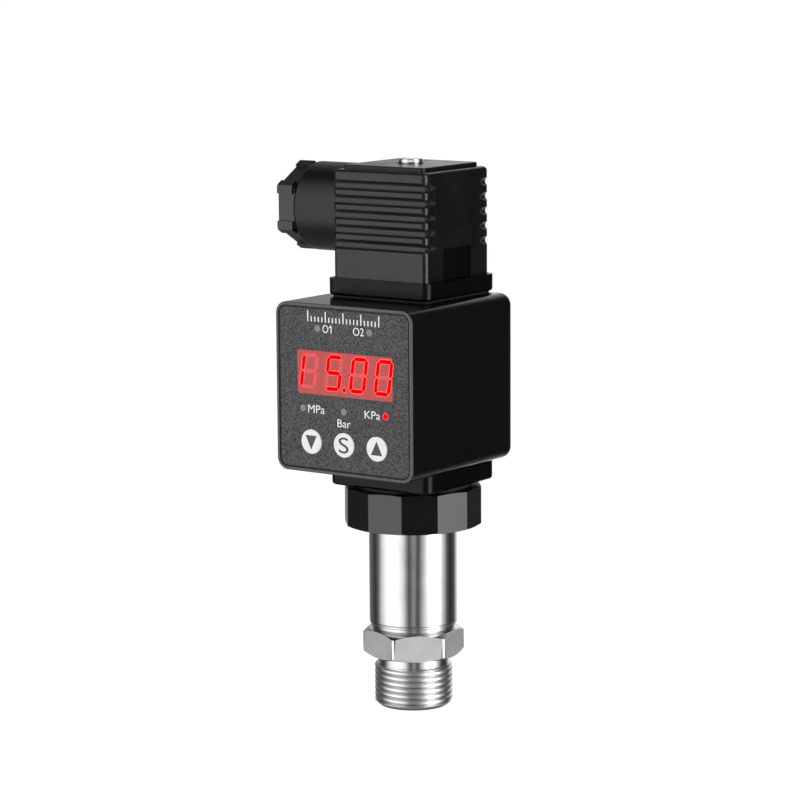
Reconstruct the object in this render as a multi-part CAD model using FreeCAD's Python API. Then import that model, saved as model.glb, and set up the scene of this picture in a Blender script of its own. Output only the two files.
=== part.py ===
import FreeCAD, Part
import math
import os

# Screw-in pressure transmitter with a plug-on display and a square cable socket.
# Millimetres, +Z up. The origin is the mouth of the pressure port, on the axis of the
# thread. The display faces -Y and the cable gland points to -X.
# Angles round Z are measured from -Y towards +X.

Vec = FreeCAD.Vector
X_AXIS = Vec(1, 0, 0)
Y_AXIS = Vec(0, 1, 0)
Z_AXIS = Vec(0, 0, 1)

# ---------------------------------------------------------------- fits
FIT = 0.05                     # gap at each side between pieces of one assembly
RUNNING_FIT = 0.05             # gap at each side of a sliding or turning shaft
PIN_FIT = 0.1                  # gap round a contact blade
SCREW_FIT = 0.3                # gap round a screw's shank

# ---------------------------------------------------------------- sensor stem
HEX_SIDES = 6
THREAD_DIAMETER = 20.0         # M20 x 1.5
THREAD_LENGTH = 10.8
THREAD_CHAMFER = 1.0
THREAD_END_CHAMFER = 0.5       # at the neck
NECK_DIAMETER = 18.2
NECK_LENGTH = 2.4
PORT_DIAMETER = 5.0
HEX_FLATS = 22.8
HEX_HEIGHT = 6.8
HEX_CORNER_DIAMETER = 26.0     # the corners are turned down to this
HEX_CHAMFER_WIDTH = 1.6        # across the end face
HEX_CHAMFER_ANGLE = 30.0
HEX_TURN = 41.0                # direction of one flat
SHOULDER_DIAMETER = 21.8
SHOULDER_HEIGHT = 1.5
SHOULDER_GROOVE_WIDTH = 0.75   # turned groove over the hexagon
SHOULDER_GROOVE_DEPTH = 0.5
LINE_WIDTH = 0.3               # turned lines over the weld and under the collar
LINE_DEPTH = 0.35
WELD_LINE_WIDTH = 0.15
SPIGOT_HEIGHT = 4.0            # fitting's spigot inside the tube

TUBE_DIAMETER = 22.6
TUBE_WALL = 1.2
TUBE_VISIBLE = 25.8            # from the weld to the collar
TUBE_LIP = 0.6                 # ring left at the weld
TUBE_LINE_DROP = 0.9           # top line's distance under the collar
TUBE_LINE_DEPTH = 0.15

CELL_HEIGHT = 10.0
CELL_RECESS_DIAMETER = 10.0    # over the diaphragm
CELL_RECESS = 0.5
CELL_PIN_DIAMETER = 0.7
CELL_PIN_CIRCLE = 6.0
CELL_PIN_LENGTH = 6.0
CELL_SEAL_SECTION = 1.2
CELL_SEAL_DIAMETER = 14.5      # to the middle of the square ring
RETAINER_HEIGHT = 3.0
RETAINER_BORE = 12.0
RETAINER_SLOT = 2.0
RETAINER_SLOT_DEPTH = 1.5
BOARD_THICKNESS = 1.6
SIGNAL_BOARD_GAP = 0.6         # between the board's edge and the tube
SIGNAL_CHIP = 2.5
SIGNAL_CHIP_HEIGHT = 1.4

LEAD_DIAMETER = 1.0
LEAD_CIRCLE = 13.0             # on the signal board
LEAD_BEND = 1.6

# ---------------------------------------------------------------- collar
COLLAR_SIDES = 12
COLLAR_CORNERS = 35.4
COLLAR_TURN = 10.6             # direction of one flat
COLLAR_CHAMFER_WIDTH = 1.05    # across the end face
COLLAR_CHAMFER_HEIGHT = 0.35
COLLAR_GRIP = 4.2              # length of tube inside the collar
COLLAR_LIP = 1.0               # lip over the tube's end
COLLAR_RECESS = 5.1            # takes the plug base's spigot
COLLAR_SEAL_SECTION = 1.4
COLLAR_GASKET_WIDTH = 0.75      # ring outside the spigot
COLLAR_GASKET_THICKNESS = 0.55

# ---------------------------------------------------------------- contact blades
PIN_COUNT = 4
PIN_WIDTH = 6.3
PIN_THICKNESS = 0.8
PIN_REACH = 8.0                # beyond the mating face
PIN_TAG_WIDTH = 2.5
PIN_TAG_LENGTH = 2.0           # below the base
PIN_TIP_CHAMFER = 0.2
PIN_END_GAP = 0.5
CONTACT_WALL = 0.5
SOCKET_FLOOR = 1.5             # under the spring contacts

# ---------------------------------------------------------------- lower plug base
BASE_WIDTH = 30.8
BASE_CORNER = 2.5
BASE_HEIGHT = 5.75
BASE_BOTTOM_ROUND = 0.8
BASE_SPIGOT_DIAMETER = 28.4
BASE_SPIGOT_WALL = 2.2
BASE_SPIGOT_CLEARANCE = 0.3    # above the collar's recess floor
BASE_GASKET_WIDTH = 25.4
BASE_GASKET_THICKNESS = 1.2
BASE_GASKET_CORNER = 1.25
INSERT_DIAMETER = 6.0          # brass insert for the long screw
INSERT_LENGTH = 5.0

# ---------------------------------------------------------------- display box
BOX_WIDTH = 41.5
BOX_HEIGHT = 42.5
BOX_FRONT = 29.6               # ahead of the axis
BOX_BACK = 16.2                # behind the axis
BOX_WALL = 2.2
BOX_LONG_ROUND = 3.1
BOX_BACK_ROUND = 2.9
BOX_RIM_ROUND = 0.3
RIM_WIDTH = 0.8
PANEL_GAP = 0.15               # groove line round the front plate
PANEL_SINK = 0.15
PANEL_THICKNESS = 1.6
PANEL_CORNER = 2.1
SOCKET_WIDTH = 25.8
SOCKET_HEIGHT = 12.0
SOCKET_LEDGE = 1.1
SOCKET_LEDGE_THICKNESS = 1.5
POST_SIZE = 3.9                # corner posts that carry the display board

WINDOW_WIDTH = 29.0
WINDOW_HEIGHT = 11.0
WINDOW_X = 0.3
WINDOW_Z = 25.3                # above the box's floor
WINDOW_LEDGE = 1.0
WINDOW_LEDGE_THICKNESS = 0.8
WINDOW_CORNER = 0.6
LED_WIDTH = 30.1
LED_HEIGHT = 14.0
LED_DEPTH = 6.5

KEY_DIAMETER = 6.2
KEY_GAP = 0.12
KEY_PROUD = 0.25
KEY_CHAMFER = 0.12
KEY_TRAVEL = 0.5
KEY_FLANGE_DIAMETER = 7.6
KEY_FLANGE_THICKNESS = 0.8
KEY_DEPTH = 3.0                # from the plate's face to the plunger
KEY_Z = 7.8                    # above the box's floor
KEY_PITCH = 10.0
SWITCH_SIZE = 6.0
SWITCH_HEIGHT = 3.2
PLUNGER_DIAMETER = 3.4
PLUNGER_SUNK = 1.6             # inside the switch at rest
PLUNGER_END_GAP = 0.1

LIGHT_DIAMETER = 1.8
LIGHT_BODY_DIAMETER = 2.9
LIGHT_BODY_LENGTH = 2.8
LIGHT_LEG = 0.5
LIGHT_LEG_PITCH = 1.5
OUTPUT_LIGHT_X = 7.9           # to each side of the middle
OUTPUT_LIGHT_Z = 36.4          # above the box's floor
UNIT_LIGHT_X = 12.6
UNIT_LIGHT_Z = 16.1

DISPLAY_BOARD_GAP = 0.3        # inside the box's walls
BOARD_PITCH = 4.0              # gap between the two boards
DRIVER_BOARD_WIDTH = 27.0
DRIVER_BOARD_HEIGHT = 33.0
DRIVER_BOARD_Z = 22.0          # its middle above the box's floor
CHIP_SIZE = 7.0
CHIP_HEIGHT = 1.8
CHIP_PITCH = 10.0
HEADER_LENGTH = 20.0
HEADER_WIDTH = 2.5
HEADER_INSET = 2.5             # from the driver board's edge
BOARD_SCREW_DIAMETER = 1.8
BOARD_SCREW_LENGTH = 6.0
BOARD_SCREW_HEAD = 3.4
BOARD_SCREW_HEAD_HEIGHT = 1.2

SLEEVE_DIAMETER = 7.0

# ---------------------------------------------------------------- upper plug base
UPPER_GASKET_THICKNESS = 0.3
UPPER_GASKET_INSET = 0.9
PLUG_CORNER = 2.2
PLUG_HEIGHT = 4.4
PLUG_BOTTOM_ROUND = 0.8
TRAY_RIM = 0.75
TRAY_SIDE_GAP = 0.475          # from the shell to the rim along X
TRAY_FRONT_GAP = 0.375         # and along Y
TRAY_DEPTH = 1.6
PLUG_TAIL_WIDTH = 25.0
PLUG_TAIL_HEIGHT = 6.0

# ---------------------------------------------------------------- cable socket
CONNECTOR_GASKET_THICKNESS = 1.0
SHELL_WIDTH = 28.4             # along X
SHELL_DEPTH = 28.6             # along Y
SHELL_HEIGHT = 27.9
SHELL_WALL = 2.2
SHELL_TOP_WALL = 2.4
SHELL_CORNER = 1.5
SHELL_TOP_ROUND = 1.2
GROOVE_COUNT = 5
GROOVE_PITCH = 3.72
GROOVE_FROM_TOP = 3.85         # first groove's middle
GROOVE_DEPTH = 0.85
GROOVE_RADIUS = 1.3
GROOVE_LIP = 0.45
GROOVE_RUNOUT = 4.6            # length of each groove round the corner
GROOVE_OVERSHOOT = 1.0         # cutter's length beyond the corners
BADGE_WIDTH = 12.2             # plain recess on the +X face
BADGE_HEIGHT = 8.0
BADGE_Y = -0.4
BADGE_DEPTH = 0.4
BADGE_ROUND = 0.35
INSERT_TOP = 0.6               # over the spring contacts
STOP_SIZE = 2.6                # corner stops over the contact insert
LID_WIDTH = 24.5
LID_GAP = 0.15                 # between the lid and the gland boss's root
LID_CORNER = 1.0
LID_THICKNESS = 1.1
LID_ROUND = 0.35
LID_PLUG_WIDTH = 19.6
LID_PLUG_DEPTH = 2.4
TERMINAL_GAP = 0.8             # from the terminals to the shell's wall
TERMINAL_LENGTH = 5.5
TERMINAL_DEPTH = 4.4
TERMINAL_HEIGHT = 3.2
TERMINAL_SCREW_DIAMETER = 2.4
TERMINAL_SCREW_LENGTH = 2.6
TERMINAL_SCREW_HEAD = 3.8
TERMINAL_SCREW_HEAD_HEIGHT = 1.0
TERMINAL_SLOT_WIDTH = 0.5
TERMINAL_SLOT_DEPTH = 0.5

SCREW_DIAMETER = 3.0
SCREW_HEAD_DIAMETER = 6.05
SCREW_HEAD_HEIGHT = 1.15
SCREW_HEAD_ROUND = 0.35
SCREW_SLOT_WIDTH = 1.0
SCREW_SLOT_DEPTH = 0.8
SCREW_SLOT_TURN = 36.0
SCREW_ENGAGEMENT = 4.5         # length in the brass insert
WASHER_DIAMETER = 6.85
WASHER_THICKNESS = 0.45
WASHER_SINK = 0.35             # below the lid's face

# ---------------------------------------------------------------- cable gland
GLAND_DROP = 10.9              # axis below the shell's top
BOSS_DIAMETER = 22.8
BOSS_LENGTH = 15.0             # beyond the shell's side
BOSS_END_ROUND = 1.2
BOSS_BORE = 18.6
PASSAGE_DIAMETER = 11.0
SEAL_SEAT = 3.2                # from the shell's side to the seal
SEAL_LENGTH = 6.0
SEAL_BORE = 8.0
SEAL_DIAMETER = 16.8
GLAND_WASHER_THICKNESS = 0.8
GLAND_WASHER_BORE = 10.4
GLAND_BORE = 10.0
GLAND_FLATS = 18.5
GLAND_PAD_FLATS = 19.8
GLAND_PAD_WIDTH = 2.2          # each side of a corner
GLAND_HEX_LENGTH = 5.25
GLAND_PAD_LENGTH = 4.8
GLAND_GAP = 0.5                # from the boss to the hexagon
GLAND_END_CHAMFER = 0.2

# ---------------------------------------------------------------- heights, bottom to top
z_neck = THREAD_LENGTH
z_hex = z_neck + NECK_LENGTH
z_shoulder = z_hex + HEX_HEIGHT
z_tube = z_shoulder + SHOULDER_HEIGHT
z_collar = z_tube + TUBE_VISIBLE
z_collar_lip = z_collar + COLLAR_GRIP
z_collar_floor = z_collar_lip + COLLAR_LIP
z_collar_top = z_collar_floor + COLLAR_RECESS
z_base = z_collar_top + COLLAR_GASKET_THICKNESS
z_box = z_base + BASE_HEIGHT
z_box_top = z_box + BOX_HEIGHT
z_plug = z_box_top + UPPER_GASKET_THICKNESS
z_plug_top = z_plug + PLUG_HEIGHT
z_tray = z_plug_top - TRAY_DEPTH
z_foot = z_tray + CONNECTOR_GASKET_THICKNESS
z_shell_top = z_foot + SHELL_HEIGHT
z_lid_top = z_shell_top + LID_THICKNESS
z_washer = z_lid_top - WASHER_SINK
z_head = z_washer + WASHER_THICKNESS
z_screw_top = z_head + SCREW_HEAD_HEIGHT
z_gland = z_shell_top - GLAND_DROP

tube_bore = TUBE_DIAMETER - 2 * TUBE_WALL
z_spigot_top = z_tube + SPIGOT_HEIGHT
z_cell_top = z_spigot_top + CELL_HEIGHT
z_signal_board = z_cell_top + CELL_PIN_LENGTH - BOARD_THICKNESS
z_signal_top = z_signal_board + BOARD_THICKNESS
screw_hole = SCREW_DIAMETER + 2 * SCREW_FIT
z_socket_top = z_box + SOCKET_HEIGHT
z_tail = z_plug - PLUG_TAIL_HEIGHT
insert_height = PIN_REACH + PIN_END_GAP + INSERT_TOP
z_insert_top = z_foot + insert_height
contact_depth = PIN_THICKNESS + 2 * PIN_FIT + 2 * CONTACT_WALL
contact_width = PIN_WIDTH + 2 * PIN_FIT + 2 * CONTACT_WALL
plug_hole = PLUG_TAIL_WIDTH + 2 * FIT
plug_width = SHELL_WIDTH + 2 * (TRAY_SIDE_GAP + TRAY_RIM)
plug_depth = SHELL_DEPTH + 2 * (TRAY_FRONT_GAP + TRAY_RIM)
pin_circle = min(SHELL_WIDTH, SHELL_DEPTH) - 2 * (SHELL_WALL + TERMINAL_GAP) - TERMINAL_DEPTH

# ---------------------------------------------------------------- depths in the box, front to back
y_panel = -BOX_FRONT + PANEL_SINK
y_panel_back = y_panel + PANEL_THICKNESS
y_led = y_panel_back + WINDOW_LEDGE_THICKNESS + FIT
y_board = y_led + LED_DEPTH
y_board_back = y_board + BOARD_THICKNESS
y_driver = y_board_back + BOARD_PITCH
y_driver_back = y_driver + BOARD_THICKNESS
cavity_width = BOX_WIDTH - 2 * BOX_WALL
z_cavity = z_box + BOX_WALL
z_cavity_top = z_box_top - BOX_WALL
panel_width = BOX_WIDTH - 2 * (RIM_WIDTH + PANEL_GAP)
panel_height = BOX_HEIGHT - 2 * (RIM_WIDTH + PANEL_GAP)
y_plunger = y_panel + KEY_DEPTH
y_switch = y_board - SWITCH_HEIGHT
z_keys = z_box + KEY_Z

# ---------------------------------------------------------------- lengths along the gland
x_side = -SHELL_WIDTH / 2
x_boss = x_side - BOSS_LENGTH
x_seat = x_side - SEAL_SEAT
x_seal = x_seat - SEAL_LENGTH
x_washer = x_seal - GLAND_WASHER_THICKNESS
x_hex = x_boss - GLAND_GAP
x_gland = x_hex - GLAND_HEX_LENGTH


# ---------------------------------------------------------------- simple solids
def block(x0, x1, y0, y1, z0, z1):
    return Part.makeBox(x1 - x0, y1 - y0, z1 - z0, Vec(x0, y0, z0))


def rod(diameter, z0, z1, x=0, y=0):
    return Part.makeCylinder(diameter / 2, z1 - z0, Vec(x, y, z0))


def rod_x(diameter, x0, x1, y, z):
    return Part.makeCylinder(diameter / 2, x1 - x0, Vec(x0, y, z), X_AXIS)


def rod_y(diameter, y0, y1, x, z):
    return Part.makeCylinder(diameter / 2, y1 - y0, Vec(x, y0, z), Y_AXIS)


def straight_edges(shape, axis):
    """Edges of a shape that run along one axis."""
    found = []
    for edge in shape.Edges:
        run = edge.Vertexes[-1].Point - edge.Vertexes[0].Point
        if run.Length > 1e-6 and abs(abs(run.normalize().dot(axis)) - 1) < 1e-6:
            found.append(edge)
    return found


def edges_on(shape, axis, level):
    """Edges of a shape that lie in one plane across an axis."""
    found = []
    for edge in shape.Edges:
        points = edge.discretize(3)
        if all(abs(point.dot(axis) - level) < 1e-5 for point in points):
            found.append(edge)
    return found


def slab(width, depth, z0, z1, corner):
    """Upright square block on the axis with rounded corners."""
    plain = block(-width / 2, width / 2, -depth / 2, depth / 2, z0, z1)
    return plain.makeFillet(corner, straight_edges(plain, Z_AXIS))


def plate(width, height, x, z, y0, y1, corner):
    """Plate across Y with rounded corners."""
    plain = block(x - width / 2, x + width / 2, y0, y1, z - height / 2, z + height / 2)
    return plain.makeFillet(corner, straight_edges(plain, Y_AXIS))


def turned(outline):
    """Solid of revolution round Z from (radius, height) points."""
    points = [Vec(radius, 0, z) for radius, z in outline]
    face = Part.Face(Part.makePolygon(points + points[:1]))
    return face.revolve(Vec(0, 0, 0), Z_AXIS, 360)


def prism(sides, flats, z0, z1, turn):
    """Upright prism with one flat facing the given direction."""
    radius = flats / 2 / math.cos(math.pi / sides)
    first = math.radians(turn - 90) + math.pi / sides
    corners = []
    for number in range(sides):
        angle = first + 2 * math.pi * number / sides
        corners.append(Vec(radius * math.cos(angle), radius * math.sin(angle), z0))
    face = Part.Face(Part.makePolygon(corners + corners[:1]))
    return face.extrude(Vec(0, 0, z1 - z0))


def ring_seal(middle_diameter, section, z):
    """Square-cut sealing ring round the axis, with its middle at z."""
    low = z - section / 2
    high = z + section / 2
    return rod(middle_diameter + section, low, high).cut(rod(middle_diameter - section, low, high))


def about_axis(shape, angle):
    turned_copy = shape.copy()
    turned_copy.rotate(Vec(0, 0, 0), Z_AXIS, angle)
    return turned_copy


def at_each_pin(shape):
    """Copies of a shape at every contact place round the axis."""
    return [about_axis(shape, 360.0 * number / PIN_COUNT) for number in range(PIN_COUNT)]


def along_gland(shape):
    """Lays an upright shape along the gland: its +Z becomes -X at the gland's height."""
    laid = shape.copy()
    laid.rotate(Vec(0, 0, 0), Y_AXIS, -90)
    laid.translate(Vec(0, 0, z_gland))
    return laid


def pin_block(depth, width, z0, z1):
    """Upright block at the first contact place, thin towards the axis."""
    middle = pin_circle / 2
    return block(middle - depth / 2, middle + depth / 2, -width / 2, width / 2, z0, z1)


# ---------------------------------------------------------------- sensor stem
def process_fitting():
    thread = THREAD_DIAMETER / 2
    lower = turned([
        (0, 0),
        (thread - THREAD_CHAMFER, 0),
        (thread, THREAD_CHAMFER),
        (thread, z_neck - THREAD_END_CHAMFER),
        (thread - THREAD_END_CHAMFER, z_neck),
        (NECK_DIAMETER / 2, z_neck),
        (NECK_DIAMETER / 2, z_hex),
        (0, z_hex),
    ])
    corner = HEX_CORNER_DIAMETER / 2
    face = corner - HEX_CHAMFER_WIDTH
    rise = HEX_CHAMFER_WIDTH * math.tan(math.radians(HEX_CHAMFER_ANGLE))
    turned_hex = turned([
        (0, z_hex),
        (face, z_hex),
        (corner, z_hex + rise),
        (corner, z_shoulder - rise),
        (face, z_shoulder),
        (0, z_shoulder),
    ])
    hexagon = prism(HEX_SIDES, HEX_FLATS, z_hex, z_shoulder, HEX_TURN).common(turned_hex)
    ring = SHOULDER_DIAMETER / 2
    groove_top = z_shoulder + SHOULDER_GROOVE_WIDTH
    spigot = tube_bore / 2 - FIT
    upper = turned([
        (0, z_shoulder),
        (ring - SHOULDER_GROOVE_DEPTH, z_shoulder),
        (ring - SHOULDER_GROOVE_DEPTH, groove_top),
        (ring, groove_top),
        (ring, z_tube - WELD_LINE_WIDTH),
        (ring - LINE_DEPTH, z_tube - WELD_LINE_WIDTH),
        (ring - LINE_DEPTH, z_tube),
        (spigot, z_tube),
        (spigot, z_spigot_top),
        (0, z_spigot_top),
    ])
    middle = CELL_SEAL_DIAMETER / 2
    half = CELL_SEAL_SECTION / 2 + FIT
    seal_groove = rod(2 * (middle + half), z_spigot_top - CELL_SEAL_SECTION, z_spigot_top)
    seal_groove = seal_groove.cut(rod(2 * (middle - half), 0, z_spigot_top))
    port = rod(PORT_DIAMETER, 0, z_spigot_top)
    return lower.fuse([hexagon, upper]).removeSplitter().cut(seal_groove).cut(port)


def sensor_tube():
    outer = TUBE_DIAMETER / 2
    line = z_collar - TUBE_LINE_DROP
    lip_top = z_tube + TUBE_LIP
    return turned([
        (tube_bore / 2, z_tube),
        (outer - TUBE_LINE_DEPTH, z_tube),
        (outer - TUBE_LINE_DEPTH, lip_top),
        (outer - LINE_DEPTH, lip_top),
        (outer - LINE_DEPTH, lip_top + LINE_WIDTH),
        (outer, lip_top + LINE_WIDTH),
        (outer, line - LINE_WIDTH),
        (outer - TUBE_LINE_DEPTH, line - LINE_WIDTH),
        (outer - TUBE_LINE_DEPTH, line),
        (outer, line),
        (outer, z_collar_lip),
        (tube_bore / 2, z_collar_lip),
    ])


def sensing_cell():
    body = rod(tube_bore - 2 * FIT, z_spigot_top, z_cell_top)
    recess = rod(CELL_RECESS_DIAMETER, z_spigot_top, z_spigot_top + CELL_RECESS)
    pin = rod(CELL_PIN_DIAMETER, z_cell_top, z_cell_top + CELL_PIN_LENGTH, CELL_PIN_CIRCLE / 2)
    return body.cut(recess).fuse(at_each_pin(pin))


def cell_seal():
    section = CELL_SEAL_SECTION - FIT
    return ring_seal(CELL_SEAL_DIAMETER, section, z_spigot_top - CELL_SEAL_SECTION / 2)


def cell_retaining_ring():
    top = z_cell_top + RETAINER_HEIGHT
    ring = rod(tube_bore - 2 * FIT, z_cell_top, top).cut(rod(RETAINER_BORE, z_cell_top, top))
    half = RETAINER_SLOT / 2
    slot = block(-tube_bore, tube_bore, -half, half, top - RETAINER_SLOT_DEPTH, top)
    return ring.cut(slot)


def signal_board():
    board = rod(tube_bore - 2 * SIGNAL_BOARD_GAP, z_signal_board, z_signal_top)
    hole = rod(CELL_PIN_DIAMETER + 2 * FIT, z_signal_board, z_signal_top, CELL_PIN_CIRCLE / 2)
    half = SIGNAL_CHIP / 2
    chip = block(-half, half, -half, half, z_signal_top, z_signal_top + SIGNAL_CHIP_HEIGHT)
    return board.cut(Part.makeCompound(at_each_pin(hole))).fuse(chip)


def lead(radius_low, z_low, radius_high, z_high):
    """One lead: upright, a slanting stretch, then upright again."""
    third = (z_high - z_low) / 3
    corners = [Vec(radius_low, 0, z_low), Vec(radius_low, 0, z_low + third),
               Vec(radius_high, 0, z_high - third), Vec(radius_high, 0, z_high)]
    up = Z_AXIS
    slant = (corners[2] - corners[1]).normalize()
    half_turn = up.getAngle(slant) / 2
    reach = LEAD_BEND * math.tan(half_turn)
    rise = LEAD_BEND / math.cos(half_turn) - LEAD_BEND
    inward = (slant - up).normalize()
    start_1 = corners[1] - up * reach
    end_1 = corners[1] + slant * reach
    start_2 = corners[2] - slant * reach
    end_2 = corners[2] + up * reach
    path = Part.Wire([
        Part.LineSegment(corners[0], start_1).toShape(),
        Part.Arc(start_1, corners[1] + inward * rise, end_1).toShape(),
        Part.LineSegment(end_1, start_2).toShape(),
        Part.Arc(start_2, corners[2] - inward * rise, end_2).toShape(),
        Part.LineSegment(end_2, corners[3]).toShape(),
    ])
    section = Part.Wire(Part.makeCircle(LEAD_DIAMETER / 2, corners[0], up))
    return path.makePipeShell([section], True, False)


def lead_wires():
    one = lead(LEAD_CIRCLE / 2, z_signal_top, pin_circle / 2, z_base - PIN_TAG_LENGTH)
    return Part.makeCompound(at_each_pin(one))


# ---------------------------------------------------------------- collar
def collar():
    flats = COLLAR_CORNERS * math.cos(math.pi / COLLAR_SIDES)
    body = prism(COLLAR_SIDES, flats, z_collar, z_collar_top, COLLAR_TURN)
    corner = COLLAR_CORNERS / 2
    face = corner - COLLAR_CHAMFER_WIDTH
    body = body.common(turned([
        (0, z_collar),
        (face, z_collar),
        (corner, z_collar + COLLAR_CHAMFER_HEIGHT),
        (corner, z_collar_top - COLLAR_CHAMFER_HEIGHT),
        (face, z_collar_top),
        (0, z_collar_top),
    ]))
    tube_hole = rod(TUBE_DIAMETER + 2 * FIT, z_collar, z_collar_lip)
    lip_hole = rod(tube_bore, z_collar_lip, z_collar_floor)
    recess = rod(BASE_SPIGOT_DIAMETER + 2 * FIT, z_collar_floor, z_collar_top)
    groove_height = COLLAR_SEAL_SECTION + 2 * FIT
    groove_low = z_collar + (COLLAR_GRIP - groove_height) / 2
    groove = rod(TUBE_DIAMETER + 2 * groove_height, groove_low, groove_low + groove_height)
    return body.cut([tube_hole, lip_hole, recess, groove])


def collar_seal():
    middle = TUBE_DIAMETER + 2 * FIT + COLLAR_SEAL_SECTION
    return ring_seal(middle, COLLAR_SEAL_SECTION, z_collar + COLLAR_GRIP / 2)


def collar_gasket():
    bore = BASE_SPIGOT_DIAMETER + 2 * FIT
    disc = rod(bore + 2 * COLLAR_GASKET_WIDTH, z_collar_top, z_base)
    return disc.cut(rod(bore, z_collar_top, z_base))


# ---------------------------------------------------------------- contacts
def pin_set(z_tail_end, z_plate, z_mate):
    """Four flat blades: a narrow tag up to z_plate, then the full width."""
    tag = pin_block(PIN_THICKNESS, PIN_TAG_WIDTH, z_tail_end, z_plate)
    blade = pin_block(PIN_THICKNESS, PIN_WIDTH, z_plate, z_mate + PIN_REACH)
    ends = [edge for edge in edges_on(blade, Z_AXIS, z_mate + PIN_REACH)
            if straight_edges(edge, Y_AXIS)]
    blade = blade.makeChamfer(PIN_TIP_CHAMFER, ends)
    return Part.makeCompound(at_each_pin(tag.fuse(blade)))


def pin_slots(z0, z1):
    slot = pin_block(PIN_THICKNESS + 2 * PIN_FIT, PIN_WIDTH + 2 * PIN_FIT, z0, z1)
    return at_each_pin(slot)


def contact_pockets(z_mate, z_top):
    """Slots for the blades and pockets for the spring contacts in a socket block."""
    pocket = pin_block(contact_depth + 2 * FIT, contact_width + 2 * FIT, z_mate + SOCKET_FLOOR, z_top)
    return pin_slots(z_mate, z_mate + SOCKET_FLOOR) + at_each_pin(pocket)


def spring_contact(z_mate, z_top):
    """Sleeve that grips one blade, open at the bottom."""
    z_low = z_mate + SOCKET_FLOOR
    sleeve = pin_block(contact_depth, contact_width, z_low, z_top)
    inside = pin_block(PIN_THICKNESS + 2 * PIN_FIT, PIN_WIDTH + 2 * PIN_FIT,
                       z_low, z_mate + PIN_REACH + PIN_END_GAP)
    return sleeve.cut(inside)


# ---------------------------------------------------------------- lower plug
def lower_plug_base():
    base = slab(BASE_WIDTH, BASE_WIDTH, z_base, z_box, BASE_CORNER)
    base = base.makeFillet(BASE_BOTTOM_ROUND, edges_on(base, Z_AXIS, z_base))
    z_spigot = z_collar_floor + BASE_SPIGOT_CLEARANCE
    spigot = rod(BASE_SPIGOT_DIAMETER, z_spigot, z_base)
    spigot = spigot.cut(rod(BASE_SPIGOT_DIAMETER - 2 * BASE_SPIGOT_WALL, z_spigot, z_base))
    width = BASE_GASKET_WIDTH + 2 * FIT
    recess = slab(width, width, z_box - BASE_GASKET_THICKNESS, z_box, BASE_GASKET_CORNER)
    insert_hole = rod(INSERT_DIAMETER + 2 * FIT, z_base, z_box)
    return base.fuse(spigot).cut([recess, insert_hole] + pin_slots(z_base, z_box))


def lower_pins():
    return pin_set(z_base - PIN_TAG_LENGTH, z_base, z_box)


def threaded_insert():
    z_low = z_box - BASE_GASKET_THICKNESS - INSERT_LENGTH
    z_high = z_box - BASE_GASKET_THICKNESS
    body = rod(INSERT_DIAMETER, z_low, z_high)
    return body.cut(rod(SCREW_DIAMETER + 2 * FIT, z_low, z_high))


def base_gasket():
    z_low = z_box - BASE_GASKET_THICKNESS
    sheet = slab(BASE_GASKET_WIDTH, BASE_GASKET_WIDTH, z_low, z_box, BASE_GASKET_CORNER)
    return sheet.cut([rod(screw_hole, z_low, z_box)] + pin_slots(z_low, z_box))


# ---------------------------------------------------------------- display box
def post_places():
    """Inner corner of the box and the way inwards, for each corner post."""
    half = cavity_width / 2
    return [(sx * half, -sx, z, sz) for sx in (-1, 1)
            for z, sz in ((z_cavity, 1), (z_cavity_top, -1))]


def post_middles():
    shift = POST_SIZE / 2
    return [(x + dx * shift, z + dz * shift) for x, dx, z, dz in post_places()]


def display_housing():
    half = BOX_WIDTH / 2
    box = block(-half, half, -BOX_FRONT, BOX_BACK, z_box, z_box_top)
    box = box.makeFillet(BOX_LONG_ROUND, straight_edges(box, Y_AXIS))
    box = box.makeFillet(BOX_BACK_ROUND, edges_on(box, Y_AXIS, BOX_BACK))
    box = box.makeFillet(BOX_RIM_ROUND, edges_on(box, Y_AXIS, -BOX_FRONT))
    z_middle = (z_box + z_box_top) / 2
    rebate = plate(panel_width + 2 * PANEL_GAP, panel_height + 2 * PANEL_GAP, 0, z_middle,
                   -BOX_FRONT, y_panel_back, PANEL_CORNER + PANEL_GAP)
    cavity = block(-cavity_width / 2, cavity_width / 2, y_panel_back, BOX_BACK - BOX_WALL,
                   z_cavity, z_cavity_top)
    box = box.cut([rebate, cavity])
    posts = []
    for x, z in post_middles():
        side = POST_SIZE / 2
        post = block(x - side, x + side, y_board_back, BOX_BACK - BOX_WALL, z - side, z + side)
        hole = rod_y(BOARD_SCREW_DIAMETER + 2 * FIT, y_board_back, y_board_back + BOARD_SCREW_LENGTH, x, z)
        posts.append(post.cut(hole))
    width = SOCKET_WIDTH / 2 + FIT
    floor_hole = block(-width, width, -width, width, z_box, z_cavity)
    roof = plug_hole / 2
    roof_hole = block(-roof, roof, -roof, roof, z_cavity_top, z_box_top)
    return box.fuse(posts).removeSplitter().cut([floor_hole, roof_hole])


def lower_socket():
    half = SOCKET_WIDTH / 2
    body = block(-half, half, -half, half, z_box, z_socket_top)
    ledge = half + SOCKET_LEDGE
    ledge_top = z_cavity + SOCKET_LEDGE_THICKNESS
    body = body.fuse(block(-ledge, ledge, -ledge, ledge, z_cavity, ledge_top))
    return body.cut([rod(screw_hole, z_box, z_socket_top)] + contact_pockets(z_box, z_socket_top))


def lower_contacts():
    sleeve = spring_contact(z_box, z_socket_top)
    tag = pin_block(PIN_THICKNESS, PIN_TAG_WIDTH, z_socket_top, z_socket_top + PIN_TAG_LENGTH)
    return Part.makeCompound(at_each_pin(sleeve.fuse(tag)))


def key_places():
    return {"down": -KEY_PITCH, "set": 0, "up": KEY_PITCH}


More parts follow.
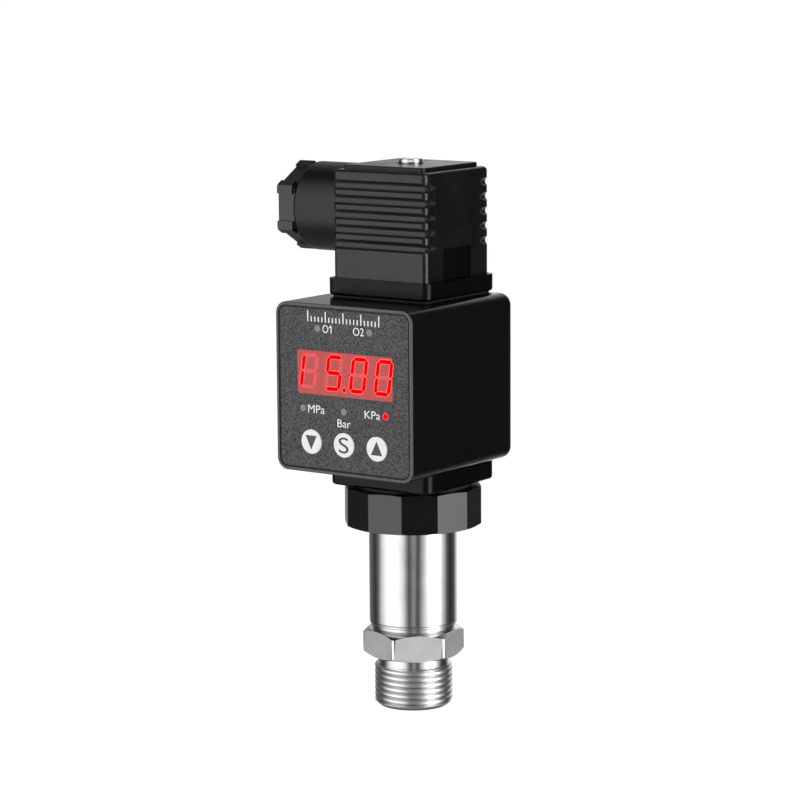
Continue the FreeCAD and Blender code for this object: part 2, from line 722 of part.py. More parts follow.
def light_places():
    z_output = z_box + OUTPUT_LIGHT_Z
    z_unit = z_box + UNIT_LIGHT_Z
    return {"out1": (-OUTPUT_LIGHT_X, z_output), "out2": (OUTPUT_LIGHT_X, z_output),
            "mpa": (-UNIT_LIGHT_X, z_unit), "bar": (0, z_unit), "kpa": (UNIT_LIGHT_X, z_unit)}


def front_panel():
    z_middle = (z_box + z_box_top) / 2
    panel = plate(panel_width, panel_height, 0, z_middle, y_panel, y_panel_back, PANEL_CORNER)
    holes = [plate(WINDOW_WIDTH + 2 * FIT, WINDOW_HEIGHT + 2 * FIT, WINDOW_X, z_box + WINDOW_Z,
                   y_panel, y_panel_back, WINDOW_CORNER)]
    for x in key_places().values():
        holes.append(rod_y(KEY_DIAMETER + 2 * KEY_GAP, y_panel, y_panel_back, x, z_keys))
    for x, z in light_places().values():
        holes.append(rod_y(LIGHT_DIAMETER + 2 * FIT, y_panel, y_panel_back, x, z))
    return panel.cut(holes)


def display_window():
    z = z_box + WINDOW_Z
    lens = plate(WINDOW_WIDTH, WINDOW_HEIGHT, WINDOW_X, z, y_panel, y_panel_back, WINDOW_CORNER)
    ledge = plate(WINDOW_WIDTH + 2 * WINDOW_LEDGE, WINDOW_HEIGHT + 2 * WINDOW_LEDGE, WINDOW_X, z,
                  y_panel_back, y_panel_back + WINDOW_LEDGE_THICKNESS, WINDOW_CORNER)
    return lens.fuse(ledge)


def led_display():
    return plate(LED_WIDTH, LED_HEIGHT, WINDOW_X, z_box + WINDOW_Z, y_led, y_board, WINDOW_CORNER)


def display_board():
    gap = DISPLAY_BOARD_GAP
    half = cavity_width / 2 - gap
    board = block(-half, half, y_board, y_board_back, z_cavity + gap, z_cavity_top - gap)
    holes = [rod_y(BOARD_SCREW_DIAMETER + 2 * FIT, y_board, y_board_back, x, z)
             for x, z in post_middles()]
    return board.cut(holes)


def board_screws():
    screws = []
    for x, z in post_middles():
        head = rod_y(BOARD_SCREW_HEAD, y_board - BOARD_SCREW_HEAD_HEIGHT, y_board, x, z)
        shank = rod_y(BOARD_SCREW_DIAMETER, y_board, y_board_back + BOARD_SCREW_LENGTH - FIT, x, z)
        screws.append(head.fuse(shank))
    return Part.makeCompound(screws)


def driver_board():
    z_middle = z_box + DRIVER_BOARD_Z
    half = DRIVER_BOARD_WIDTH / 2
    height = DRIVER_BOARD_HEIGHT / 2
    board = block(-half, half, y_driver, y_driver_back, z_middle - height, z_middle + height)
    chips = []
    for step in (-1, 0, 1):
        z = z_middle + step * CHIP_PITCH
        side = CHIP_SIZE / 2
        chips.append(block(-side, side, y_driver - CHIP_HEIGHT, y_driver, z - side, z + side))
    return board.fuse(chips)


def board_headers():
    z_middle = z_box + DRIVER_BOARD_Z
    reach = DRIVER_BOARD_WIDTH / 2 - HEADER_INSET
    half = HEADER_LENGTH / 2
    width = HEADER_WIDTH / 2
    strips = [block(x - width, x + width, y_board_back, y_driver, z_middle - half, z_middle + half)
              for x in (-reach, reach)]
    return Part.makeCompound(strips)


def light(x, z):
    """Indicator light: nose in the plate, body behind it and two legs to the board."""
    y_body_end = y_panel_back + LIGHT_BODY_LENGTH
    nose = rod_y(LIGHT_DIAMETER, y_panel, y_panel_back, x, z)
    body = rod_y(LIGHT_BODY_DIAMETER, y_panel_back, y_body_end, x, z)
    half = LIGHT_LEG / 2
    legs = []
    for shift in (-LIGHT_LEG_PITCH / 2, LIGHT_LEG_PITCH / 2):
        leg_x = x + shift
        legs.append(block(leg_x - half, leg_x + half, y_body_end, y_board, z - half, z + half))
    return nose.fuse([body] + legs)


def key_cap(x):
    face = rod_y(KEY_DIAMETER, y_panel - KEY_PROUD, y_plunger, x, z_keys)
    face = face.makeChamfer(KEY_CHAMFER, edges_on(face, Y_AXIS, y_panel - KEY_PROUD))
    y_flange = y_panel_back + FIT
    flange = rod_y(KEY_FLANGE_DIAMETER, y_flange, y_flange + KEY_FLANGE_THICKNESS, x, z_keys)
    return face.fuse(flange)


def key_plunger(x):
    return rod_y(PLUNGER_DIAMETER, y_plunger, y_switch + PLUNGER_SUNK, x, z_keys)


def key_switch(x):
    half = SWITCH_SIZE / 2
    body = block(x - half, x + half, y_switch, y_board, z_keys - half, z_keys + half)
    depth = PLUNGER_SUNK + KEY_TRAVEL + PLUNGER_END_GAP
    well = rod_y(PLUNGER_DIAMETER + 2 * RUNNING_FIT, y_switch, y_switch + depth, x, z_keys)
    return body.cut(well)


def screw_sleeve():
    return rod(SLEEVE_DIAMETER, z_socket_top, z_tail).cut(rod(screw_hole, z_socket_top, z_tail))


# ---------------------------------------------------------------- upper plug base
def upper_gasket():
    sheet = slab(plug_width - 2 * UPPER_GASKET_INSET, plug_depth - 2 * UPPER_GASKET_INSET,
                 z_box_top, z_plug, PLUG_CORNER - UPPER_GASKET_INSET)
    half = plug_hole / 2
    return sheet.cut(block(-half, half, -half, half, z_box_top, z_plug))


def upper_plug_base():
    base = slab(plug_width, plug_depth, z_plug, z_plug_top, PLUG_CORNER)
    base = base.makeFillet(PLUG_BOTTOM_ROUND, edges_on(base, Z_AXIS, z_plug))
    tray = slab(plug_width - 2 * TRAY_RIM, plug_depth - 2 * TRAY_RIM, z_tray, z_plug_top,
                PLUG_CORNER - TRAY_RIM)
    half = PLUG_TAIL_WIDTH / 2
    tail = block(-half, half, -half, half, z_tail, z_plug)
    return base.fuse(tail).cut([tray, rod(screw_hole, z_tail, z_tray)] + pin_slots(z_tail, z_tray))


def upper_pins():
    return pin_set(z_tail - PIN_TAG_LENGTH, z_tail, z_foot)


def connector_gasket():
    width = SHELL_WIDTH - 2 * FIT
    depth = SHELL_DEPTH - 2 * FIT
    sheet = slab(width, depth, z_tray, z_foot, PLUG_CORNER - TRAY_RIM)
    return sheet.cut([rod(screw_hole, z_tray, z_foot)] + pin_slots(z_tray, z_foot))


# ---------------------------------------------------------------- cable socket
def groove_section(z, outward, face, shift):
    """Outline of one finger groove: a hollow with rounded lips, open to the outside.

    outward is the unit normal of the wall, face the wall's distance from the axis
    and shift moves the whole outline.
    """
    lip = GROOVE_LIP
    hollow = GROOVE_RADIUS
    hollow_u = hollow - GROOVE_DEPTH
    half = math.sqrt((hollow + lip) ** 2 - (hollow_u + lip) ** 2)
    beyond = GROOVE_DEPTH + hollow

    def point(u, v):
        return outward * (face + u) + Z_AXIS * (z + v) + shift

    def lip_points(side):
        slope = math.atan2(half, hollow_u + lip)
        touch_u = -lip + lip * math.cos(slope)
        touch_v = half - lip * math.sin(slope)
        middle_u = -lip + lip * math.cos(slope / 2)
        middle_v = half - lip * math.sin(slope / 2)
        return [point(0, side * half), point(middle_u, side * middle_v), point(touch_u, side * touch_v)]

    upper = lip_points(1)
    lower = lip_points(-1)
    return Part.Wire([
        Part.LineSegment(point(beyond, half), upper[0]).toShape(),
        Part.Arc(*upper).toShape(),
        Part.Arc(upper[2], point(-GROOVE_DEPTH, 0), lower[2]).toShape(),
        Part.Arc(lower[2], lower[1], lower[0]).toShape(),
        Part.LineSegment(lower[0], point(beyond, -half)).toShape(),
        Part.LineSegment(point(beyond, -half), point(beyond, half)).toShape(),
    ])


def finger_grooves():
    """Grooves across the front and back that fade out round each corner."""
    cutters = []
    half_x = SHELL_WIDTH / 2
    half_y = SHELL_DEPTH / 2
    for number in range(GROOVE_COUNT):
        z = z_shell_top - GROOVE_FROM_TOP - number * GROOVE_PITCH
        for side_y in (-1, 1):
            outward = Y_AXIS * side_y
            start = X_AXIS * -(half_x + GROOVE_OVERSHOOT)
            across = Part.Face(groove_section(z, outward, half_y, start))
            cutters.append(across.extrude(X_AXIS * 2 * (half_x + GROOVE_OVERSHOOT)))
            for side_x in (-1, 1):
                outward = X_AXIS * side_x
                start = Y_AXIS * (side_y * half_y)
                fading = outward * GROOVE_DEPTH - Y_AXIS * (side_y * GROOVE_RUNOUT)
                round_corner = Part.Face(groove_section(z, outward, half_x, start))
                cutters.append(round_corner.extrude(fading))
    return cutters


def connector_housing():
    shell = slab(SHELL_WIDTH, SHELL_DEPTH, z_foot, z_shell_top, SHELL_CORNER)
    shell = shell.makeFillet(SHELL_TOP_ROUND, edges_on(shell, Z_AXIS, z_shell_top))
    shell = shell.cut(finger_grooves())
    half_x = SHELL_WIDTH / 2
    half_badge = BADGE_WIDTH / 2
    badge = block(half_x - BADGE_DEPTH, half_x, BADGE_Y - half_badge, BADGE_Y + half_badge,
                  z_foot, z_plug_top + BADGE_HEIGHT)
    badge_tops = [edge for edge in straight_edges(badge, X_AXIS)
                  if edge.CenterOfMass.z > z_plug_top]
    shell = shell.cut(badge.makeFillet(BADGE_ROUND, badge_tops))
    boss = rod_x(BOSS_DIAMETER, x_boss, -LID_WIDTH / 2 - LID_GAP, 0, z_gland)
    boss = boss.makeFillet(BOSS_END_ROUND, edges_on(boss, X_AXIS, x_boss))
    shell = shell.fuse(boss)
    inner_x = half_x - SHELL_WALL
    inner_y = SHELL_DEPTH / 2 - SHELL_WALL
    z_roof = z_shell_top - SHELL_TOP_WALL
    lid_half = LID_PLUG_WIDTH / 2 + FIT
    hollows = [
        block(-inner_x, inner_x, -inner_y, inner_y, z_foot, z_roof),
        block(-lid_half, lid_half, -lid_half, lid_half, z_roof, z_shell_top),
        rod_x(BOSS_BORE, x_boss, x_seal, 0, z_gland),
        rod_x(SEAL_DIAMETER + 2 * FIT, x_seal, x_seat, 0, z_gland),
        rod_x(PASSAGE_DIAMETER, x_seat, x_side + SHELL_WALL, 0, z_gland),
    ]
    shell = shell.cut(hollows)
    stops = []
    for side_x in (-1, 1):
        for side_y in (-1, 1):
            x0, x1 = sorted((side_x * inner_x, side_x * (inner_x - STOP_SIZE)))
            y0, y1 = sorted((side_y * inner_y, side_y * (inner_y - STOP_SIZE)))
            stops.append(block(x0, x1, y0, y1, z_insert_top + FIT, z_roof))
    return shell.fuse(stops).removeSplitter()


def contact_insert():
    half_x = SHELL_WIDTH / 2 - SHELL_WALL - FIT
    half_y = SHELL_DEPTH / 2 - SHELL_WALL - FIT
    body = block(-half_x, half_x, -half_y, half_y, z_foot, z_insert_top)
    return body.cut([rod(screw_hole, z_foot, z_insert_top)] + contact_pockets(z_foot, z_insert_top))


def connector_contacts():
    sleeve = spring_contact(z_foot, z_insert_top)
    z_high = z_insert_top + TERMINAL_HEIGHT
    terminal = pin_block(TERMINAL_DEPTH, TERMINAL_LENGTH, z_insert_top, z_high)
    hole = rod(TERMINAL_SCREW_DIAMETER + 2 * FIT, z_high - TERMINAL_SCREW_LENGTH - FIT, z_high,
               pin_circle / 2)
    return Part.makeCompound(at_each_pin(sleeve.fuse(terminal.cut(hole))))


def terminal_screws():
    z_seat = z_insert_top + TERMINAL_HEIGHT
    x = pin_circle / 2
    shank = rod(TERMINAL_SCREW_DIAMETER, z_seat - TERMINAL_SCREW_LENGTH, z_seat, x)
    head_top = z_seat + TERMINAL_SCREW_HEAD_HEIGHT
    head = rod(TERMINAL_SCREW_HEAD, z_seat, head_top, x)
    reach = TERMINAL_SCREW_HEAD / 2
    half = TERMINAL_SLOT_WIDTH / 2
    slot = block(x - reach, x + reach, -half, half, head_top - TERMINAL_SLOT_DEPTH, head_top)
    return Part.makeCompound(at_each_pin(shank.fuse(head.cut(slot))))


def connector_lid():
    lid = slab(LID_WIDTH, LID_WIDTH, z_shell_top, z_lid_top, LID_CORNER)
    lid = lid.makeFillet(LID_ROUND, edges_on(lid, Z_AXIS, z_lid_top))
    half = LID_PLUG_WIDTH / 2
    stem = block(-half, half, -half, half, z_shell_top - LID_PLUG_DEPTH, z_shell_top)
    washer_seat = rod(WASHER_DIAMETER + 2 * FIT, z_washer, z_lid_top)
    return lid.fuse(stem).cut([rod(screw_hole, z_shell_top - LID_PLUG_DEPTH, z_lid_top), washer_seat])


def screw_washer():
    return rod(WASHER_DIAMETER, z_washer, z_head).cut(rod(SCREW_DIAMETER + 2 * FIT, z_washer, z_head))


def fixing_screw():
    """One long screw from the lid down to the brass insert."""
    z_end = z_box - BASE_GASKET_THICKNESS - SCREW_ENGAGEMENT
    shank = rod(SCREW_DIAMETER, z_end, z_head)
    head = rod(SCREW_HEAD_DIAMETER, z_head, z_screw_top)
    head = head.makeFillet(SCREW_HEAD_ROUND, edges_on(head, Z_AXIS, z_screw_top))
    half = SCREW_SLOT_WIDTH / 2
    slot = block(-half, half, -SCREW_HEAD_DIAMETER, SCREW_HEAD_DIAMETER,
                 z_screw_top - SCREW_SLOT_DEPTH, z_screw_top)
    return shank.fuse(head).cut(about_axis(slot, SCREW_SLOT_TURN))


# ---------------------------------------------------------------- cable gland
def gland_seal():
    seal = rod_x(SEAL_DIAMETER, x_seal, x_seat, 0, z_gland)
    return seal.cut(rod_x(SEAL_BORE, x_seal, x_seat, 0, z_gland))


def gland_washer():
    disc = rod_x(BOSS_BORE - 2 * RUNNING_FIT, x_washer, x_seal, 0, z_gland)
    return disc.cut(rod_x(GLAND_WASHER_BORE, x_washer, x_seal, 0, z_gland))


def gland_screw():
    """Hollow screw: threaded spigot in the boss and a hexagon with raised corner pads."""
    hex_low = -x_hex
    hex_high = -x_gland
    pad_low = hex_high - GLAND_PAD_LENGTH
    body = prism(HEX_SIDES, GLAND_FLATS, hex_low, hex_high, 0)
    pads = prism(HEX_SIDES, GLAND_PAD_FLATS, pad_low, hex_high, 0)
    corner = GLAND_PAD_FLATS / 2 / math.cos(math.pi / HEX_SIDES)
    gap = corner / 2 - GLAND_PAD_WIDTH
    between = block(-gap, gap, -GLAND_PAD_FLATS, GLAND_PAD_FLATS, hex_low, hex_high)
    for number in range(HEX_SIDES // 2):
        pads = pads.cut(about_axis(between, 360 / HEX_SIDES * number))
    face = corner - GLAND_END_CHAMFER
    hexagon = body.fuse(pads).common(turned([
        (0, hex_low),
        (face, hex_low),
        (corner, hex_low + GLAND_END_CHAMFER),
        (corner, hex_high - GLAND_END_CHAMFER),
        (face, hex_high),
        (0, hex_high),
    ]))
    spigot = rod(BOSS_BORE - 2 * RUNNING_FIT, -x_washer, hex_low)
    whole = hexagon.fuse(spigot).cut(rod(GLAND_BORE, -x_washer, hex_high))
    return along_gland(whole)


# ---------------------------------------------------------------- the nodes
pieces = {
    "process_fitting": process_fitting(),
    "sensor_tube": sensor_tube(),
    "sensing_cell": sensing_cell(),
    "cell_seal": cell_seal(),
    "cell_retaining_ring": cell_retaining_ring(),
    "signal_board": signal_board(),
    "lead_wires": lead_wires(),
    "collar": collar(),
    "collar_seal": collar_seal(),
    "collar_gasket": collar_gasket(),
    "lower_plug_base": lower_plug_base(),
    "lower_pins": lower_pins(),
    "threaded_insert": threaded_insert(),
    "base_gasket": base_gasket(),
    "display_housing": display_housing(),
    "lower_socket": lower_socket(),
    "lower_contacts": lower_contacts(),
    "front_panel": front_panel(),
    "display_window": display_window(),
    "led_display": led_display(),
    "display_board": display_board(),
    "board_screws": board_screws(),
    "driver_board": driver_board(),
    "board_headers": board_headers(),
    "screw_sleeve": screw_sleeve(),
    "upper_gasket": upper_gasket(),
    "upper_plug_base": upper_plug_base(),
    "upper_pins": upper_pins(),
    "connector_gasket": connector_gasket(),
    "connector_housing": connector_housing(),
    "contact_insert": contact_insert(),
    "connector_contacts": connector_contacts(),
    "terminal_screws": terminal_screws(),
    "connector_lid": connector_lid(),
    "screw_washer": screw_washer(),
    "fixing_screw": fixing_screw(),
    "gland_seal": gland_seal(),
    "gland_washer": gland_washer(),
    "gland_screw": gland_screw(),
}
for name, place in key_places().items():
    pieces["key_" + name] = key_cap(place)
    pieces["plunger_" + name] = key_plunger(place)
    pieces["switch_" + name] = key_switch(place)
for name, (light_x, light_z) in light_places().items():
    pieces["light_" + name] = light(light_x, light_z)

os.makedirs("parts", exist_ok=True)
for name, shape in pieces.items():
    shape.exportStep("parts/" + name + ".step")
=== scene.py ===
import math

import bmesh
import bpy
from bpy.props import FloatProperty, FloatVectorProperty, IntProperty, PointerProperty
from bpy.props import StringProperty
from mathutils import Matrix, Quaternion, Vector


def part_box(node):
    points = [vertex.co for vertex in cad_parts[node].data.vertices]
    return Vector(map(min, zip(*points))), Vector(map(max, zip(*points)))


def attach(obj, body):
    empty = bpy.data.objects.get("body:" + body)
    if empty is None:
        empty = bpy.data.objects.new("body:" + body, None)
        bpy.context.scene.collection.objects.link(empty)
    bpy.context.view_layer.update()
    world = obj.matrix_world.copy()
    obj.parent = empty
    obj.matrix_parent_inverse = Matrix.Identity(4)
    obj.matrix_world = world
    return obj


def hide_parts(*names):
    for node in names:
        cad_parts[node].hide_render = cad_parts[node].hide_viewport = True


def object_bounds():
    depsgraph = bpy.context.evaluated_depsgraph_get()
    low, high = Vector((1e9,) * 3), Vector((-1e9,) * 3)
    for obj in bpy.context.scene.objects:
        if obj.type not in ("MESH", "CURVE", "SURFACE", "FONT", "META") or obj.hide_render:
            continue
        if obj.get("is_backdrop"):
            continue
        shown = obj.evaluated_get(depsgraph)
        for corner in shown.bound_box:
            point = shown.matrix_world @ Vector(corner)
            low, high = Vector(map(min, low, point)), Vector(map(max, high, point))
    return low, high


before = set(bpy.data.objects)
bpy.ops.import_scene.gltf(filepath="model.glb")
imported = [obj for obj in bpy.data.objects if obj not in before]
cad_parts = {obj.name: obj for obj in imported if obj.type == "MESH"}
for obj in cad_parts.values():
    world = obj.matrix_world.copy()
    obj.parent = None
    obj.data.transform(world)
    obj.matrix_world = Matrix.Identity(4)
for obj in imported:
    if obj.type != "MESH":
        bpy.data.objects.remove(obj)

bl_info = {
    "name": "Pressure transmitter",
    "version": (1, 0, 0),
    "blender": (4, 5, 0),
    "location": "3D View > Sidebar > Transmitter",
    "description": "Finishes, thread, readout and lettering of a screw-in pressure transmitter",
    "category": "Object",
}

MM = 0.001
BODY = "transmitter"
KEYS = ("down", "set", "up")
LIGHTS_OFF = ("out1", "out2", "mpa", "bar")
SHARP_ANGLE = math.radians(28)
JOIN_DISTANCE = 0.5e-6
UPRIGHT = 0.1
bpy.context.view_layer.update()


# ---------------------------------------------------------------- sizes and colours
def length(name, about, default):
    return FloatProperty(name=name, description=about, default=default, unit="LENGTH", precision=5)


def colour(name, about, default):
    return FloatVectorProperty(name=name, description=about, default=default, size=3,
                               subtype="COLOR", min=0, max=1)


def level(name, about, default):
    return FloatProperty(name=name, description=about, default=default, min=0)


class ThreadSizes(bpy.types.PropertyGroup):
    """Screw threads of the process fitting and the gland."""
    pitch: length("Pitch", "Rise of one turn", 1.5 * MM)
    depth: length("Depth", "From crest to root", 0.7 * MM)
    crest: length("Crest", "Width left at the crest", 0.62 * MM)
    root: length("Root", "Width of the groove at its root", 0.2 * MM)
    steps: IntProperty(name="Steps", description="Sections in one turn", default=72, min=12)


class ReadoutSizes(bpy.types.PropertyGroup):
    """Seven-segment digits behind the window."""
    reading: StringProperty(name="Reading", description="What the display shows", default="15.00")
    height: length("Digit height", "Over the outer segments", 9.0 * MM)
    width: length("Digit width", "Over the outer segments", 4.95 * MM)
    pitch: length("Digit pitch", "From digit to digit", 7.55 * MM)
    bar: length("Segment width", "Across one segment", 0.98 * MM)
    gap: length("Segment gap", "Between the ends of two segments", 0.14 * MM)
    rim: length("Glow rim", "Paler edge round a lit segment", 0.14 * MM)
    slant: FloatProperty(name="Slant", description="Lean of the digits to the right",
                         default=math.radians(8), subtype="ANGLE")
    right: length("To the right", "Digits' middle from the window's middle", 0.5 * MM)
    up: length("Upwards", "Digits' middle above the window's middle", 0.3 * MM)


class PrintSizes(bpy.types.PropertyGroup):
    """Print on the front plate and the keys."""
    film: length("Film", "Thickness of the print", 0.02 * MM)
    capital: length("Capital height", "Height of the labels", 2.0 * MM)
    ticks: IntProperty(name="Ticks", description="Marks in the scale at the top", default=21, min=2)
    tick_pitch: length("Tick pitch", "From mark to mark", 1.08 * MM)
    tick_width: length("Tick width", "Across one mark", 0.34 * MM)
    tick_short: length("Short tick", "Height of a short mark", 1.3 * MM)
    tick_long: length("Long tick", "Height of every fifth mark", 2.7 * MM)
    tick_base: length("Scale foot", "Below the top of the plate", 3.55 * MM)
    arrow_width: length("Arrow width", "Base of an arrow on a key", 3.4 * MM)
    arrow_height: length("Arrow height", "Height of an arrow on a key", 3.55 * MM)
    letter_height: length("Key letter", "Height of the letter on a key", 4.0 * MM)


class FinishColours(bpy.types.PropertyGroup):
    """Colours of the finishes."""
    steel: colour("Steel", "Turned and polished stainless steel", (0.78, 0.775, 0.765))
    collar: colour("Collar", "Black anodised collar", (0.002, 0.002, 0.002))
    base: colour("Plug bases", "Black moulding with a satin face", (0.0025, 0.0025, 0.0028))
    box: colour("Display box", "Black lacquered box", (0.003, 0.003, 0.003))
    socket: colour("Cable socket", "Spark-eroded black moulding", (0.004, 0.004, 0.0042))
    gland: colour("Gland", "Satin black nylon", (0.005, 0.005, 0.0052))
    plate: colour("Front plate", "Dark grey film", (0.056, 0.056, 0.058))
    window: colour("Window", "Red filter", (0.485, 0.055, 0.055))
    unlit: colour("Unlit segments", "Segments that are off", (0.74, 0.11, 0.11))
    lit: colour("Lit segments", "Segments that are on", (1.0, 0.0, 0.0))
    rim: colour("Glow rim", "Edge of a lit segment", (1.0, 0.16, 0.16))
    key: colour("Keys", "White key caps", (0.83, 0.85, 0.84))
    print: colour("Print", "White print on the plate", (0.86, 0.87, 0.87))
    symbol: colour("Symbols", "Grey print on the keys", (0.055, 0.055, 0.058))
    lamp: colour("Lamps", "Indicator lights that are off", (0.20, 0.20, 0.20))
    lamp_rim: colour("Lamp rim", "Edge of the indicator light that is on", (0.3, 0.12, 0.12))


class StageSettings(bpy.types.PropertyGroup):
    """Camera, floor and lights."""
    azimuth: FloatProperty(name="Azimuth", description="Camera's bearing from the display's side",
                           default=math.radians(35.2), subtype="ANGLE")
    elevation: FloatProperty(name="Elevation", description="Camera's height angle",
                             default=math.radians(9.05), subtype="ANGLE")
    distance: length("Distance", "From the camera to its aim", 750.0 * MM)
    lens: level("Lens", "Focal length in millimetres", 132.4)
    roll: FloatProperty(name="Roll", description="Camera's turn about its own line of sight",
                        default=math.radians(-0.38), subtype="ANGLE")
    aim: FloatVectorProperty(name="Aim", description="Where the camera looks", size=3,
                             default=(-2.63 * MM, -1.66 * MM, 79.1 * MM), subtype="TRANSLATION")
    key_light: level("Softboxes", "Radiance of the two softboxes", 2.0)
    ambient: level("Ambient", "Light from all round", 0.35)
    gloss: level("Studio in gloss", "Radiance of the white bands that gloss sees", 1.45)


# ---------------------------------------------------------------- finishes
def fill(node, values):
    """Sets a node's sockets by their names."""
    for name, value in values.items():
        node.inputs[name].default_value = value


def shader_of(name):
    material = bpy.data.materials.new(name)
    material.use_nodes = True
    nodes = material.node_tree.nodes
    return material, nodes, material.node_tree.links, nodes["Principled BSDF"]


def grain_noise(nodes, links, grain, stretch=(1, 1, 1)):
    """Noise in the piece's own coordinates with grains of a given size."""
    place = nodes.new("ShaderNodeTexCoord")
    mapping = nodes.new("ShaderNodeMapping")
    mapping.inputs["Scale"].default_value = stretch
    noise = nodes.new("ShaderNodeTexNoise")
    fill(noise, {"Scale": 1 / grain, "Detail": 2.0})
    links.new(place.outputs["Object"], mapping.inputs["Vector"])
    links.new(mapping.outputs["Vector"], noise.inputs["Vector"])
    return noise.outputs["Fac"]


def spread(nodes, links, source, low, high):
    """Stretches the usual range of a noise to low ... high."""
    ranged = nodes.new("ShaderNodeMapRange")
    fill(ranged, {"From Min": 0.3, "From Max": 0.7, "To Min": low, "To Max": high})
    links.new(source, ranged.inputs["Value"])
    return ranged.outputs["Result"]


def two_tone(nodes, links, source, tone, contrast):
    """A colour that wanders between a darker and a lighter tone."""
    ramp = nodes.new("ShaderNodeValToRGB")
    dark, light = ramp.color_ramp.elements
    dark.position, light.position = 0.3, 0.7
    dark.color = (*[part * (1 - contrast) for part in tone], 1)
    light.color = (*[min(part * (1 + contrast), 1) for part in tone], 1)
    links.new(source, ramp.inputs["Fac"])
    return ramp.outputs["Color"]


def relief(nodes, links, source, shader, depth):
    bump = nodes.new("ShaderNodeBump")
    bump.inputs["Distance"].default_value = depth
    links.new(source, bump.inputs["Height"])
    links.new(bump.outputs["Normal"], shader.inputs["Normal"])


def moulding(name, tone, gloss, grain, depth, contrast=0.15, uneven=0.05, specular=0.5):
    """Plastic, rubber or lacquer: a fine grain in tone, gloss and relief, sizes in mm."""
    material, nodes, links, shader = shader_of(name)
    fine = grain_noise(nodes, links, grain * MM)
    wide = grain_noise(nodes, links, 20 * (grain * MM))
    links.new(two_tone(nodes, links, fine, tone, contrast), shader.inputs["Base Color"])
    links.new(spread(nodes, links, wide, gloss - uneven, gloss + uneven), shader.inputs["Roughness"])
    shader.inputs["Specular IOR Level"].default_value = specular
    relief(nodes, links, fine, shader, depth * MM)
    return material


def turned_metal(name, tone, gloss, stretch, depth, uneven=0.05):
    """Bare metal with fine tool marks along one direction, their depth in mm."""
    material, nodes, links, shader = shader_of(name)
    marks = grain_noise(nodes, links, 0.2 * MM, stretch)
    clouds = grain_noise(nodes, links, 4 * MM)
    links.new(two_tone(nodes, links, clouds, tone, 0.06), shader.inputs["Base Color"])
    links.new(spread(nodes, links, marks, gloss - uneven, gloss + uneven), shader.inputs["Roughness"])
    shader.inputs["Metallic"].default_value = 1.0
    relief(nodes, links, marks, shader, depth * MM)
    return material


def glowing(name, tone, strength):
    """A lit plastic face, a little uneven in brightness."""
    material, nodes, links, shader = shader_of(name)
    clouds = grain_noise(nodes, links, 1.5 * MM)
    fill(shader, {"Base Color": (*tone, 1), "Specular IOR Level": 0.0, "Emission Color": (*tone, 1),
                  "Emission Strength": strength})
    links.new(spread(nodes, links, clouds, 0.35, 0.55), shader.inputs["Roughness"])
    return material


def lamp_glow(name, tone, rim, strength, middle, core, edge):
    """A round lamp whose glow fades from its core to its rim."""
    material = glowing(name, tone, strength)
    nodes, links = material.node_tree.nodes, material.node_tree.links
    place = nodes.new("ShaderNodeTexCoord")
    reach = nodes.new("ShaderNodeVectorMath")
    reach.operation = "DISTANCE"
    reach.inputs[1].default_value = middle
    share = nodes.new("ShaderNodeMapRange")
    fill(share, {"From Min": core, "From Max": edge})
    fade = nodes.new("ShaderNodeMix")
    fade.data_type = "RGBA"
    fill(fade, {"A": (*tone, 1), "B": (*rim, 1)})
    links.new(place.outputs["Object"], reach.inputs[0])
    links.new(reach.outputs["Value"], share.inputs["Value"])
    links.new(share.outputs["Result"], fade.inputs["Factor"])
    links.new(fade.outputs["Result"], nodes["Principled BSDF"].inputs["Emission Color"])
    return material


def round_marks(count):
    """Stretch of a noise that leaves rings round the stem's axis."""
    return (1, 1, count)


# ---------------------------------------------------------------- pieces
def settings():
    return bpy.context.scene.transmitter


def evaluated_mesh(piece):
    graph = bpy.context.evaluated_depsgraph_get()
    return bpy.data.meshes.new_from_object(piece.evaluated_get(graph))


def settle(piece):
    """Turns what the modifiers make into a plain mesh."""
    mesh = evaluated_mesh(piece)
    piece.modifiers.clear()
    piece.data = mesh
    mesh.name = piece.name


def mesh_from(work, name):
    """Closes a bmesh into a named mesh."""
    mesh = bpy.data.meshes.new(name)
    work.to_mesh(mesh)
    work.free()
    return mesh


def pairs_round(items):
    """Each item with the next one, and the last with the first."""
    return zip(items, [*items[1:], items[0]])


def new_piece(name, mesh):
    piece = bpy.data.objects.new(name, mesh)
    bpy.context.scene.collection.objects.link(piece)
    return piece


def joined_mesh(name, node):
    """A node's surface with its loose triangles joined at their corners."""
    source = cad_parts[node]
    work = bmesh.new()
    work.from_mesh(source.data)
    work.transform(source.matrix_world)
    bmesh.ops.remove_doubles(work, verts=work.verts, dist=JOIN_DISTANCE)
    mesh = mesh_from(work, name)
    for attribute in ("custom_normal", "sharp_face", "sharp_edge"):
        if attribute in mesh.attributes:
            mesh.attributes.remove(mesh.attributes[attribute])
    return mesh


def shade(piece):
    """Smooth shading between sharp edges, with flat faces left flat."""
    work = bmesh.new()
    work.from_mesh(piece.data)
    for face in work.faces:
        face.smooth = True
    for edge in work.edges:
        edge.smooth = edge.is_manifold and edge.calc_face_angle(0) < SHARP_ANGLE
    work.to_mesh(piece.data)
    work.free()
    weighted = piece.modifiers.new("Weighted normals", "WEIGHTED_NORMAL")
    weighted.keep_sharp = True
    settle(piece)


def hand_over(piece, body, slot, *nodes):
    """Puts a finished piece on its body and hides the nodes that it stands for."""
    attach(piece, body)
    if nodes:
        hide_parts(*nodes)


def wear(piece, *materials):
    piece.data.materials.clear()
    for material in materials:
        piece.data.materials.append(material)


